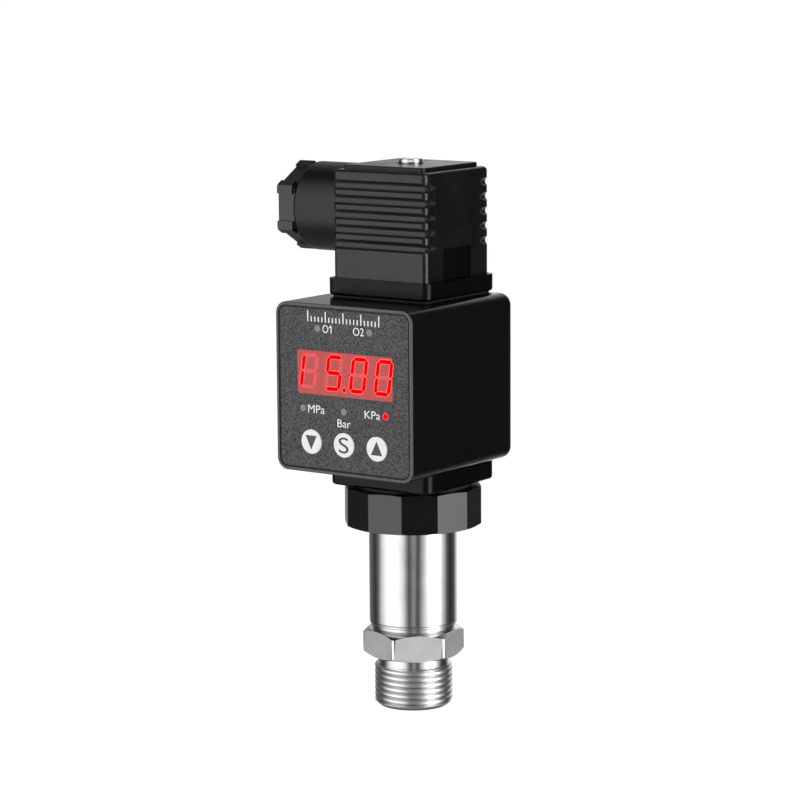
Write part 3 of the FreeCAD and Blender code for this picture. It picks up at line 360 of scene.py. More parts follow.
def dressed(node, material, slot, body=BODY):
    """Smooth copy of a node in its finish, standing for the node."""
    piece = new_piece(node + "_shown", joined_mesh(node, node))
    shade(piece)
    wear(piece, material)
    hand_over(piece, body, slot, node)
    return piece


def coat(material, *nodes):
    """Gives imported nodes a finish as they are."""
    for node in nodes:
        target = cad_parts[node]
        if not target.material_slots:
            target.data.materials.append(material)
        for place in target.material_slots:
            place.material = material


def prism_mesh(name, outlines, face_y, thickness):
    """Flat shapes that stand a little proud of a face that looks to -Y."""
    work = bmesh.new()
    for outline in outlines:
        back = [work.verts.new((x, face_y, z)) for x, z in outline]
        front = [work.verts.new((x, face_y - thickness, z)) for x, z in outline]
        work.faces.new(front)
        work.faces.new(back[::-1])
        for (near, next_near), (far, next_far) in zip(pairs_round(front), pairs_round(back)):
            work.faces.new((next_near, near, far, next_far))
    bmesh.ops.recalc_face_normals(work, faces=work.faces)
    return mesh_from(work, name)


def rounded_outline(left, right, low, high, corner, steps=8):
    """Rectangle with rounded corners, as points in turn."""
    points = []
    for turn, (x, z) in enumerate([(right, high), (left, high), (left, low), (right, low)]):
        middle_x = x - corner if x == right else x + corner
        middle_z = z - corner if z == high else z + corner
        for step in range(steps + 1):
            angle = (turn + step / steps) * math.pi / 2
            points.append((middle_x + corner * math.cos(angle), middle_z + corner * math.sin(angle)))
    return points


def border_mesh(name, outer, inner, face_y, thickness):
    """Flat line between two outlines, a little proud of a face that looks to -Y."""
    work = bmesh.new()
    rings = [[work.verts.new((x, y, z)) for x, z in outline]
             for outline, y in ((outer, face_y), (outer, face_y - thickness),
                                (inner, face_y - thickness), (inner, face_y))]
    for first, second in pairs_round(rings):
        for (start, end), (far, next_far) in zip(pairs_round(first), pairs_round(second)):
            work.faces.new((start, end, next_far, far))
    bmesh.ops.recalc_face_normals(work, faces=work.faces)
    return mesh_from(work, name)


def text_mesh(name, words, height, width, x, z, face_y, thickness):
    """Lettering of a given height and width with its middle at (x, z) on a -Y face."""
    curve = bpy.data.curves.new(name, "FONT")
    curve.body = words
    curve.extrude = thickness / 2
    curve.resolution_u = 6
    holder = new_piece(name, curve)
    mesh = evaluated_mesh(holder)
    bpy.data.objects.remove(holder)
    corners = [vertex.co for vertex in mesh.vertices]
    low_x, high_x = min(c.x for c in corners), max(c.x for c in corners)
    low_y, high_y = min(c.y for c in corners), max(c.y for c in corners)
    across, up = width / (high_x - low_x), height / (high_y - low_y)
    middle_x, middle_y = (low_x + high_x) / 2, (low_y + high_y) / 2
    for vertex in mesh.vertices:
        place = vertex.co.copy()
        vertex.co = (x + (place.x - middle_x) * across, face_y - thickness / 2 - place.z,
                     z + (place.y - middle_y) * up)
    return mesh


def merged(name, meshes):
    """One piece from several meshes."""
    work = bmesh.new()
    for mesh in meshes:
        work.from_mesh(mesh)
    bmesh.ops.recalc_face_normals(work, faces=work.faces)
    return new_piece(name, mesh_from(work, name))


def middle_of(node):
    low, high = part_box(node)
    return (Vector(low) + Vector(high)) / 2


# ---------------------------------------------------------------- geometry node trees
def new_tree(name, sockets):
    """Tree with named inputs and one geometry output."""
    tree = bpy.data.node_groups.new(name, "GeometryNodeTree")
    for label, kind in sockets:
        tree.interface.new_socket(name=label, in_out="INPUT", socket_type="NodeSocket" + kind)
    tree.interface.new_socket(name="Geometry", in_out="OUTPUT", socket_type="NodeSocketGeometry")
    return tree, tree.nodes.new("NodeGroupInput"), tree.nodes.new("NodeGroupOutput")


def wire(tree, *pairs):
    for source, target in pairs:
        tree.links.new(source, target)


def close_tree(tree, source, given, result):
    """Ends a tree in real geometry that wears the given material."""
    realize = tree.nodes.new("GeometryNodeRealizeInstances")
    wearing = tree.nodes.new("GeometryNodeSetMaterial")
    wire(tree, (source, realize.inputs["Geometry"]),
         (realize.outputs["Geometry"], wearing.inputs["Geometry"]),
         (given.outputs["Material"], wearing.inputs["Material"]),
         (wearing.outputs["Geometry"], result.inputs["Geometry"]))


def reckoned(tree, operation, first, second=None):
    """Math node whose one or two terms are sockets or numbers."""
    node = tree.nodes.new("ShaderNodeMath")
    node.operation = operation
    for place, term in enumerate((first, second)):
        if isinstance(term, (int, float)):
            node.inputs[place].default_value = term
        elif term is not None:
            tree.links.new(term, node.inputs[place])
    return node.outputs[0]


def grown(name, tree, values):
    """Piece made by a tree with its inputs set by identifier, as a plain mesh."""
    piece = new_piece(name, bpy.data.meshes.new(name))
    modifier = piece.modifiers.new(name, "NODES")
    modifier.node_group = tree
    for item in tree.interface.items_tree:
        if item.in_out == "INPUT" and item.name in values:
            modifier[item.identifier] = values[item.name]
    settle(piece)
    return piece


def groove_tree():
    """Helical groove of a screw thread: a trapezium swept along a spiral."""
    tree, given, result = new_tree("Thread groove", [
        ("Pitch", "Float"), ("Turns", "Float"), ("Middle radius", "Float"), ("Outer width", "Float"),
        ("Root width", "Float"), ("Depth", "Float"), ("Steps", "Int"), ("Material", "Material")])
    add = tree.nodes.new
    spiral = add("GeometryNodeCurveSpiral")
    upright = add("GeometryNodeSetCurveNormal")
    upright.mode = "Z_UP"
    section = add("GeometryNodeCurvePrimitiveQuadrilateral")
    section.mode = "TRAPEZOID"
    section.inputs["Offset"].default_value = 0.0
    turn = add("GeometryNodeTransform")
    turn.inputs["Rotation"].default_value = (0, 0, -math.pi / 2)
    sweep = add("GeometryNodeCurveToMesh")
    sweep.inputs["Fill Caps"].default_value = True
    inputs = given.outputs
    wire(tree, (inputs["Steps"], spiral.inputs["Resolution"]),
         (inputs["Turns"], spiral.inputs["Rotations"]),
         (inputs["Middle radius"], spiral.inputs["Start Radius"]),
         (inputs["Middle radius"], spiral.inputs["End Radius"]),
         (reckoned(tree, "MULTIPLY", inputs["Pitch"], inputs["Turns"]), spiral.inputs["Height"]),
         (inputs["Outer width"], section.inputs["Bottom Width"]),
         (inputs["Root width"], section.inputs["Top Width"]),
         (inputs["Depth"], section.inputs["Height"]),
         (spiral.outputs["Curve"], upright.inputs["Curve"]),
         (section.outputs["Curve"], turn.inputs["Geometry"]),
         (upright.outputs["Curve"], sweep.inputs["Curve"]),
         (turn.outputs["Geometry"], sweep.inputs["Profile Curve"]))
    close_tree(tree, sweep.outputs["Mesh"], given, result)
    return tree


def bead_tree():
    """Rounded ring: a small circle swept round the axis."""
    tree, given, result = new_tree("Weld bead", [
        ("Radius", "Float"), ("Section", "Float"), ("Height", "Vector"), ("Material", "Material")])
    add = tree.nodes.new
    path = add("GeometryNodeCurvePrimitiveCircle")
    path.inputs["Resolution"].default_value = 160
    section = add("GeometryNodeCurvePrimitiveCircle")
    section.inputs["Resolution"].default_value = 16
    sweep = add("GeometryNodeCurveToMesh")
    lift = add("GeometryNodeTransform")
    smooth = add("GeometryNodeSetShadeSmooth")
    wire(tree, (given.outputs["Radius"], path.inputs["Radius"]),
         (given.outputs["Section"], section.inputs["Radius"]),
         (path.outputs["Curve"], sweep.inputs["Curve"]),
         (section.outputs["Curve"], sweep.inputs["Profile Curve"]),
         (sweep.outputs["Mesh"], lift.inputs["Geometry"]),
         (given.outputs["Height"], lift.inputs["Translation"]),
         (lift.outputs["Geometry"], smooth.inputs["Geometry"]))
    close_tree(tree, smooth.outputs["Geometry"], given, result)
    return tree


def scale_tree():
    """Row of upright marks, every fifth one long."""
    tree, given, result = new_tree("Tick scale", [
        ("Count", "Int"), ("Pitch", "Float"), ("Width", "Float"), ("Short", "Float"),
        ("Long", "Float"), ("Film", "Float"), ("Start", "Vector"), ("Material", "Material")])
    add = tree.nodes.new
    line = add("GeometryNodeMeshLine")
    step = add("ShaderNodeCombineXYZ")
    mark = add("GeometryNodeMeshCube")
    index = add("GeometryNodeInputIndex")
    size = add("ShaderNodeCombineXYZ")
    stand = add("GeometryNodeSetPosition")
    lift = add("ShaderNodeCombineXYZ")
    place = add("GeometryNodeInstanceOnPoints")
    inputs = given.outputs
    fifth = reckoned(tree, "COMPARE", reckoned(tree, "MODULO", index.outputs["Index"], 5), 0)
    extra = reckoned(tree, "SUBTRACT", inputs["Long"], inputs["Short"])
    height = reckoned(tree, "ADD", inputs["Short"], reckoned(tree, "MULTIPLY", extra, fifth))
    wire(tree, (inputs["Pitch"], step.inputs["X"]), (inputs["Count"], line.inputs["Count"]),
         (inputs["Start"], line.inputs["Start Location"]),
         (step.outputs["Vector"], line.inputs["Offset"]), (inputs["Width"], size.inputs["X"]),
         (inputs["Film"], size.inputs["Y"]), (height, size.inputs["Z"]),
         (reckoned(tree, "MULTIPLY", height, 0.5), lift.inputs["Z"]),
         (line.outputs["Mesh"], stand.inputs["Geometry"]),
         (lift.outputs["Vector"], stand.inputs["Offset"]),
         (stand.outputs["Geometry"], place.inputs["Points"]),
         (mark.outputs["Mesh"], place.inputs["Instance"]),
         (size.outputs["Vector"], place.inputs["Scale"]))
    close_tree(tree, place.outputs["Instances"], given, result)
    return tree


# ---------------------------------------------------------------- threads
def cut_thread(piece, radius, low, high, turn=None):
    """Cuts a helical groove into a piece, round Z or an axis that turn lays it on."""
    sizes = settings().thread
    proud = 0.06 * MM
    flare = 2 * proud * (sizes.pitch - sizes.crest - sizes.root) / (2 * sizes.depth)
    run = high - low
    groove = grown(piece.name + "_groove", groove_tree(), {
        "Pitch": sizes.pitch,
        "Turns": run / sizes.pitch,
        "Middle radius": radius - (sizes.depth - proud) / 2,
        "Outer width": sizes.pitch - sizes.crest + flare,
        "Root width": sizes.root,
        "Depth": sizes.depth + proud,
        "Steps": sizes.steps,
    })
    groove.data.transform(Matrix.Translation((0, 0, low)))
    if turn is not None:
        groove.data.transform(turn)
    work = bmesh.new()
    work.from_mesh(groove.data)
    bmesh.ops.remove_doubles(work, verts=work.verts, dist=1e-7)
    bmesh.ops.recalc_face_normals(work, faces=work.faces)
    work.to_mesh(groove.data)
    work.free()
    cutter = piece.modifiers.new("Thread", "BOOLEAN")
    cutter.operation = "DIFFERENCE"
    cutter.solver = "EXACT"
    cutter.object = groove
    settle(piece)
    bpy.data.objects.remove(groove)


class TRANSMITTER_OT_fitting(bpy.types.Operator):
    """Process fitting with its thread, and the welded stem tube"""
    bl_idname = "transmitter.fitting"
    bl_label = "Fitting and tube"

    def finish_zones(self, piece, finishes, thread, root_reach):
        """Ground hexagon flats, grooves and thread roots darkened with painted shade, and a rolled
        thread on a polished fitting.
        """
        GROUND, GROOVE_SHADE, ROLLED = 1, 2, 3
        hex_low, hex_high = 13.3 * MM, 19.9 * MM
        flat_reach, groove_reach = 12.9 * MM, 10.45 * MM
        thread_end = 10.4 * MM
        wear(piece, *finishes)
        for face in piece.data.polygons:
            reach, z = face.center.xy.length, face.center.z
            upright = abs(face.normal.z) < UPRIGHT
            if hex_low < z < hex_high and upright and thread < reach < flat_reach:
                face.material_index = GROUND
            # Grooves above the hexagon and the thread roots take the painted shade, a darker steel.
            elif z > hex_high and upright and thread < reach < groove_reach:
                face.material_index = GROOVE_SHADE
            elif z < thread_end and 0.9 * thread < reach:
                face.material_index = GROOVE_SHADE if reach < root_reach else ROLLED

    def execute(self, context):
        tones = settings().colours
        sizes = settings().thread
        turned = round_marks(30)
        polished = turned_metal("Polished steel", tones.steel, 0.14, turned, 0.0015)
        ground = turned_metal("Ground steel", tones.steel, 0.55, (1, 1, 1), 0.004)
        # Painted shade: the same steel darkened for the grooves, thread roots and the tube's foot line,
        # where shade falls.
        shaded = [0.42 * part for part in tones.steel]
        groove_shade_steel = turned_metal("Groove painted shade", shaded, 0.3, turned, 0.002)
        rolled = turned_metal("Rolled steel", tones.steel, 0.3, turned, 0.0015)
        piece = new_piece("process_fitting_shown", joined_mesh("process_fitting", "process_fitting"))
        thread, groove_top = 10.0 * MM, 11.2 * MM
        cut_thread(piece, thread, -1.2 * sizes.pitch, groove_top)
        shade(piece)
        self.finish_zones(piece, (polished, ground, groove_shade_steel, rolled), thread, thread - 0.8 * sizes.depth)
        hand_over(piece, BODY, "stainless_turned", "process_fitting")

        brushed = turned_metal("Brushed tube", tones.steel, 0.13, round_marks(40), 0.001,
                               uneven=0.02)
        tube = dressed("sensor_tube", brushed, "stainless_tube")
        tube.data.materials.append(groove_shade_steel)
        foot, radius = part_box("sensor_tube")[0][2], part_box("sensor_tube")[1][0]
        for face in tube.data.polygons:
            reach = face.center.xy.length
            # The tube's recessed foot line takes the painted groove shade too.
            in_shaded_line = thread + 0.5 * MM < reach < radius - 0.3 * MM
            if abs(face.normal.z) < UPRIGHT and in_shaded_line:
                face.material_index = 1
        beads = {"shoulder_bead": (0.68 * MM, -0.45 * MM), "weld_bead": (0.33 * MM, 0.3 * MM)}
        for name, (inset, rise) in beads.items():
            bead = grown(name, bead_tree(), {"Radius": radius - inset, "Section": 0.3 * MM,
                                             "Height": (0, 0, foot + rise), "Material": polished})
            hand_over(bead, BODY, "stainless_tube")
        return {"FINISHED"}


class TRANSMITTER_OT_collar(bpy.types.Operator):
    """Twelve-sided collar and its gasket"""
    bl_idname = "transmitter.collar"
    bl_label = "Collar"

    def execute(self, context):
        tone = settings().colours.collar
        anodised = moulding("Anodised collar", tone, 0.13, 0.3, 0.004, uneven=0.02, specular=0.9)
        dressed("collar", anodised, "collar_black")
        rubber = moulding("Gasket rubber", (0.012, 0.012, 0.012), 0.6, 0.3, 0.006)
        for gasket in ("collar_gasket", "upper_gasket"):
            dressed(gasket, rubber, "seal_rubber")
        return {"FINISHED"}


class TRANSMITTER_OT_plug_bases(bpy.types.Operator):
    """Moulded flanges under and over the display box"""
    bl_idname = "transmitter.plug_bases"
    bl_label = "Plug bases"

    def execute(self, context):
        tone = settings().colours.base
        satin = moulding("Satin moulding", tone, 0.18, 0.3, 0.002, uneven=0.02, specular=0.2)
        for base in ("lower_plug_base", "upper_plug_base"):
            dressed(base, satin, "base_black")
        return {"FINISHED"}


class TRANSMITTER_OT_display_box(bpy.types.Operator):
    """Display box, front plate and window"""
    bl_idname = "transmitter.display_box"
    bl_label = "Display box"

    def execute(self, context):
        tones = settings().colours
        lacquer = moulding("Black lacquer", tones.box, 0.16, 0.2, 0.0008, uneven=0.01, specular=0.6)
        # Painted highlight: the box's front rim gets a lighter grey, standing in for the light that the
        # rim catches.
        edge = moulding("Rim painted highlight", (0.07, 0.07, 0.072), 0.3, 0.3, 0.004, contrast=0.4)
        housing = dressed("display_housing", lacquer, "box_black")
        housing.data.materials.append(edge)
        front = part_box("display_housing")[0][1]
        # Faces of the front rim take the painted highlight.
        for face in housing.data.polygons:
            if face.normal.y < -0.5 and face.center.y < front + 0.15 * MM:
                face.material_index = 1
        film = moulding("Plate film", tones.plate, 0.4, 0.34, 0.05, contrast=0.95, specular=0.3)
        dressed("front_panel", film, "panel_grey")
        low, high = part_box("front_panel")
        # Painted shade: a thin black line just inside the plate's edge, standing in for the shade in the
        # gap between the plate and the box rim.
        inset, line, corner = 0.08 * MM, 0.24 * MM, 2.0 * MM
        outlines = [rounded_outline(low[0] + step, high[0] - step, low[2] + step, high[2] - step,
                                    corner + inset - step) for step in (inset, inset + line)]
        gap_shade_mesh = border_mesh("gap shade line", *outlines, low[1], settings().print.film)
        seal = new_piece("plate_gap_shade", gap_shade_mesh)
        wear(seal, moulding("Painted gap shade", (0.003, 0.003, 0.003), 0.4, 0.2, 0.001, specular=0.2))
        hand_over(seal, BODY, "box_black")
        pane = moulding("Red filter", tones.window, 0.3, 0.35, 0.003, contrast=0.12)
        dressed("display_window", pane, "window_red")
        return {"FINISHED"}


# ---------------------------------------------------------------- readout and print
SEGMENTS = {"0": "abcdef", "1": "ef", "2": "abdeg", "3": "abcdg", "4": "bcfg", "5": "acdfg",
            "6": "acdefg", "7": "abc", "8": "abcdefg", "9": "abcdfg"}


def segment_ends(width, height):
    """Middle-line ends of the seven segments of one digit."""
    x, y = width / 2, height / 2
    return {"a": ((-x, y), (x, y)), "b": ((x, y), (x, 0)), "c": ((x, 0), (x, -y)),
            "d": ((-x, -y), (x, -y)), "e": ((-x, 0), (-x, -y)), "f": ((-x, y), (-x, 0)),
            "g": ((-x, 0), (x, 0))}


def segment_outline(ends, bar, gap, slant, x, z):
    """Six-cornered bar between two points, leaning by the slant."""
    start, end = Vector(ends[0]), Vector(ends[1])
    along = (end - start).normalized()
    across = Vector((-along.y, along.x)) * bar / 2
    tip, shoulder = along * gap, along * (gap + bar / 2)
    corners = [start + tip, start + shoulder + across, end - shoulder + across,
               end - tip, end - shoulder - across, start + shoulder - across]
    lean = math.tan(slant)
    return [(x + corner.x + corner.y * lean, z + corner.y) for corner in corners]


def point_outline(size, x, z, sides=16):
    turn = 2 * math.pi / sides
    return [(x + size / 2 * math.cos(turn * n), z + size / 2 * math.sin(turn * n)) for n in range(sides)]


class TRANSMITTER_OT_readout(bpy.types.Operator):
    """Seven-segment digits in the window"""
    bl_idname = "transmitter.readout"
    bl_label = "Readout"

    def execute(self, context):
        sizes, tones = settings().readout, settings().colours
        middle = middle_of("display_window")
        face_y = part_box("display_window")[0][1]
        film = settings().print.film
        ends = segment_ends(sizes.width - sizes.bar, sizes.height - sizes.bar)
        digits = [mark for mark in sizes.reading if mark != "."]
        place = middle.x + sizes.right - sizes.pitch * (len(digits) - 1) / 2
        z = middle.z + sizes.up
        point = 1.2 * sizes.bar
        lit, rims, unlit = [], [], []
        for mark in sizes.reading:
            if mark == ".":
                foot_x = place - sizes.pitch / 2 - sizes.height / 2 * math.tan(sizes.slant)
                foot_z = z - (sizes.height - sizes.bar) / 2
                lit.append(point_outline(point, foot_x, foot_z))
                rims.append(point_outline(point + 2 * sizes.rim, foot_x, foot_z))
                continue
            for name, pair in ends.items():
                plain = segment_outline(pair, sizes.bar, sizes.gap / 2, sizes.slant, place, z)
                if name not in SEGMENTS[mark]:
                    unlit.append(plain)
                    continue
                lit.append(plain)
                rims.append(segment_outline(pair, sizes.bar + 2 * sizes.rim,
                                            sizes.gap / 2 - sizes.rim, sizes.slant, place, z))
            place += sizes.pitch
        rows = (("segments_lit", lit, 1.5, glowing("Lit segment", tones.lit, 1.0)),
                ("segments_rim", rims, 1.0, glowing("Segment glow", tones.rim, 0.55)),
                # Painted light: the segments that are off glow faintly, standing in for the light they
                # reflect behind the filter.
                ("segments_unlit", unlit, 0.5, glowing("Unlit segment", tones.unlit, 0.12)))
        for name, outlines, height, material in rows:
            piece = new_piece(name, prism_mesh(name, outlines, face_y, height * film))
            wear(piece, material)
            hand_over(piece, BODY, "led_face")
        return {"FINISHED"}


class TRANSMITTER_OT_print(bpy.types.Operator):
    """Unit labels and the tick scale on the front plate"""
    bl_idname = "transmitter.print"
    bl_label = "Plate print"

    def figure_one(self, x, z):
        """Outline of the figure one, with a flag at its top."""
        half = settings().print.capital / 2
        stem, flag, drop = 0.28 * MM, 0.55 * MM, 0.5 * MM
        return [(x, z - half), (x + stem, z - half), (x + stem, z + half), (x + 0.05 * MM, z + half),
                (x - flag, z + half - drop), (x - flag, z + half - drop - 0.3 * MM),
                (x, z + half - drop + 0.05 * MM)]

    def execute(self, context):
        sizes, tones = settings().print, settings().colours
        face_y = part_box("front_panel")[0][1]
        ink = moulding("White print", tones.print, 0.45, 0.2, 0.002, contrast=0.04)

        def label(words, width, x, z):
            return text_mesh("label", words, sizes.capital, width, x, z, face_y, sizes.film)

        beside = 1.6 * MM
        labels = []
        widths = {"out1": ("O1", 3.0), "out2": ("O2", 3.3), "mpa": ("MPa", 5.1), "kpa": ("KPa", 4.7)}
        for light, (words, width) in widths.items():
            middle = middle_of("light_" + light)
            side = -1 if middle.x > 0 else 1
            x = middle.x + side * (beside + width * MM / 2)
            if light == "out1":
                figure = self.figure_one(x + 1.0 * MM, middle.z)
                labels.append(label("O", 1.75 * MM, x - 0.62 * MM, middle.z))
                labels.append(prism_mesh("figure one", [figure], face_y, sizes.film))
            else:
                labels.append(label(words, width * MM, x, middle.z))
        middle = middle_of("light_bar")
        labels.append(label("Bar", 4.0 * MM, middle.x, middle.z - 2.9 * MM))
        lettering = merged("plate_lettering", labels)
        wear(lettering, ink)
        hand_over(lettering, BODY, "key_white")
        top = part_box("front_panel")[1][2]
        scale = grown("plate_scale", scale_tree(), {
            "Count": sizes.ticks, "Pitch": sizes.tick_pitch, "Width": sizes.tick_width,
            "Short": sizes.tick_short, "Long": sizes.tick_long, "Film": sizes.film,
            "Start": (-sizes.tick_pitch * (sizes.ticks - 1) / 2, face_y - sizes.film / 2,
                      top - sizes.tick_base),
            "Material": ink})
        hand_over(scale, BODY, "key_white")
        return {"FINISHED"}


class TRANSMITTER_OT_keys(bpy.types.Operator):
    """White keys with their symbols, plungers and switches"""
    bl_idname = "transmitter.keys"
    bl_label = "Keys"

    def symbol(self, key):
        """Mesh of a key's symbol: an arrow down, a letter or an arrow up."""
        sizes = settings().print
        low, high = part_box("key_" + key)
        x, z = (low[0] + high[0]) / 2, (low[2] + high[2]) / 2
        name = "symbol_" + key
        if key == "set":
            return text_mesh(name, "S", sizes.letter_height, 0.76 * sizes.letter_height, x, z,
                             low[1], sizes.film)
        way = 1 if key == "up" else -1
        half, reach = sizes.arrow_width / 2, sizes.arrow_height / 2
        shift = 0.2 * MM * way
        outline = [(x - half, z - reach * way + shift), (x + half, z - reach * way + shift),
                   (x, z + reach * way + shift)]
        return prism_mesh(name, [outline], low[1], sizes.film)

    def execute(self, context):
        tones = settings().colours
        cap = moulding("Key cap", tones.key, 0.35, 0.4, 0.002, contrast=0.03)
        ink = moulding("Grey print", tones.symbol, 0.45, 0.2, 0.002)
        for key in KEYS:
            body = "key_" + key
            dressed(body, cap, "key_white", body)
            symbol = new_piece("symbol_" + key, self.symbol(key))
            wear(symbol, ink)
            hand_over(symbol, body, "panel_grey")
        switch = moulding("Switch body", (0.02, 0.02, 0.02), 0.4, 0.3, 0.003)
        coat(cap, *["plunger_" + key for key in KEYS])
        coat(switch, *["switch_" + key for key in KEYS])
        return {"FINISHED"}


class TRANSMITTER_OT_lights(bpy.types.Operator):
    """Indicator lights of the outputs and units"""
    bl_idname = "transmitter.lights"
    bl_label = "Indicator lights"

    def execute(self, context):
        tones = settings().colours
        off = moulding("Lamp off", tones.lamp, 0.25, 0.3, 0.002, contrast=0.1)
        for light in LIGHTS_OFF:
            dressed("light_" + light, off, "light_grey")
        middle = middle_of("light_kpa")
        middle.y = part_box("light_kpa")[0][1]
        lamp = lamp_glow("Lamp on", tones.lit, tones.lamp_rim, 0.9, middle, 0.5 * MM, 0.85 * MM)
        dressed("light_kpa", lamp, "light_red")
        return {"FINISHED"}


class TRANSMITTER_OT_socket(bpy.types.Operator):
    """Cable socket with its lid, washer and long fixing screw"""
    bl_idname = "transmitter.socket"
    bl_label = "Cable socket"

    def execute(self, context):
        tones = settings().colours
        eroded = moulding("Eroded moulding", tones.socket, 0.22, 0.42, 0.06,
                          contrast=0.8, uneven=0.05, specular=0.58)
        smooth = moulding("Smooth moulding", tones.base, 0.34, 0.35, 0.012, contrast=0.3,
                          specular=0.5)
        recess = moulding("Recess gloss", tones.base, 0.12, 0.3, 0.001, uneven=0.01, specular=0.3)
        shell = dressed("connector_housing", eroded, "socket_black")
        for finish in (smooth, recess):
            shell.data.materials.append(finish)
        SMOOTH, RECESS = 1, 2
        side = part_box("connector_housing")[1][0]
        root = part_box("gland_seal")[1][0]
        for face in shell.data.polygons:
            if face.normal.x > 0.9 and side - 0.5 * MM < face.center.x < side - 0.3 * MM:
                face.material_index = RECESS
            elif face.center.x < root:
                face.material_index = SMOOTH
        plate = moulding("Lid moulding", tones.base, 0.3, 0.3, 0.004, specular=0.35)
        dressed("connector_lid", plate, "socket_black")
        nickel = turned_metal("Plated screw", (0.78, 0.77, 0.75), 0.16, round_marks(20), 0.001)
        dressed("fixing_screw", nickel, "screw_steel")
        nylon = moulding("Washer nylon", (0.03, 0.03, 0.03), 0.4, 0.3, 0.002)
        dressed("screw_washer", nylon, "washer_plastic")
        rubber = moulding("Profile gasket", (0.03, 0.03, 0.032), 0.6, 0.3, 0.006)
        coat(rubber, "connector_gasket", "base_gasket")
        return {"FINISHED"}


class TRANSMITTER_OT_gland(bpy.types.Operator):
    """Gland screw with its thread, the washer and the seal"""
    bl_idname = "transmitter.gland"
    bl_label = "Cable gland"

    def execute(self, context):
        tone = settings().colours.gland
        nylon = moulding("Gland nylon", tone, 0.36, 0.35, 0.015, contrast=0.3, specular=0.8)
        piece = new_piece("gland_screw_shown", joined_mesh("gland_screw", "gland_screw"))
        low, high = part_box("gland_washer")
        spigot = (high[1] - low[1]) / 2
        run_in = 1.2 * settings().thread.pitch
        boss_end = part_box("connector_housing")[0][0]
        axis = Matrix.Translation((0, 0, middle_of("gland_screw").z))
        lay = axis @ Matrix.Rotation(-math.pi / 2, 4, "Y")
        cut_thread(piece, spigot, -low[0] - run_in, -boss_end - 0.4 * MM, lay)
        shade(piece)
        wear(piece, nylon)
        hand_over(piece, "gland_screw", "gland_black", "gland_screw")
        washer = moulding("Gland washer", (0.35, 0.35, 0.34), 0.35, 0.3, 0.002)
        dressed("gland_washer", washer, "washer_plastic", "gland_washer")
        rubber = moulding("Gland seal", (0.02, 0.02, 0.02), 0.6, 0.3, 0.008)
        dressed("gland_seal", rubber, "seal_rubber")
        return {"FINISHED"}


class TRANSMITTER_OT_inner_parts(bpy.types.Operator):
    """Finishes of what the closed housing holds"""
    bl_idname = "transmitter.inner_parts"
    bl_label = "Inner parts"

    def execute(self, context):
        coat(moulding("Seal rubber", (0.015, 0.015, 0.015), 0.6, 0.3, 0.006),
             "cell_seal", "collar_seal")
        coat(turned_metal("Cell steel", (0.7, 0.69, 0.67), 0.25, round_marks(20), 0.002),
             "sensing_cell", "cell_retaining_ring")
        coat(moulding("Solder mask", (0.01, 0.11, 0.04), 0.3, 0.5, 0.004),
             "signal_board", "display_board", "driver_board")
        coat(moulding("Lead sleeve", (0.45, 0.02, 0.02), 0.4, 0.2, 0.002), "lead_wires")
        coat(turned_metal("Tinned contact", (0.72, 0.71, 0.68), 0.25, (1, 1, 1), 0.002),
             "lower_pins", "upper_pins", "lower_contacts", "connector_contacts")
        coat(turned_metal("Insert brass", (0.78, 0.55, 0.24), 0.25, round_marks(20), 0.002),
             "threaded_insert")
        coat(turned_metal("Bright steel", (0.7, 0.7, 0.69), 0.2, round_marks(20), 0.002),
             "board_screws", "terminal_screws", "screw_sleeve")
        coat(moulding("Insert moulding", (0.08, 0.08, 0.085), 0.45, 0.3, 0.006),
             "lower_socket", "contact_insert")
        coat(moulding("Header moulding", (0.02, 0.02, 0.02), 0.4, 0.3, 0.004),
             "board_headers", "led_display")
        return {"FINISHED"}


# ---------------------------------------------------------------- stage
# What gloss sees round the object: bearing from the camera in degrees, grey.
STUDIO_RING = (
    (-180, 0.30), (-150, 0.10), (-118, 0.025), (-104, 0.10), (-92, 0.48), (-81, 0.78), (-66, 1.0),
    (-44, 1.0), (-28, 0.66), (-20, 0.30), (-12, 0.04), (2, 0.24), (10, 0.05), (14, 0.06), (19, 0.20),
    (27, 0.46), (39, 0.86), (47, 2.6), (66, 2.6), (75, 0.85), (88, 0.36), (99, 0.07), (112, 0.02),
    (133, 0.05), (156, 0.5), (180, 0.7))
# The same by height: sine of the elevation, grey.
FLOOR_GLOW = ((-1.0, 0.16), (-0.60, 0.16), (-0.40, 0.0), (1.0, 0.0))
SOFTBOX_HEIGHT = ((-1.0, 0.05), (-0.72, 0.12), (-0.48, 1.0), (0.68, 1.0), (0.88, 0.22), (1.0, 0.10))


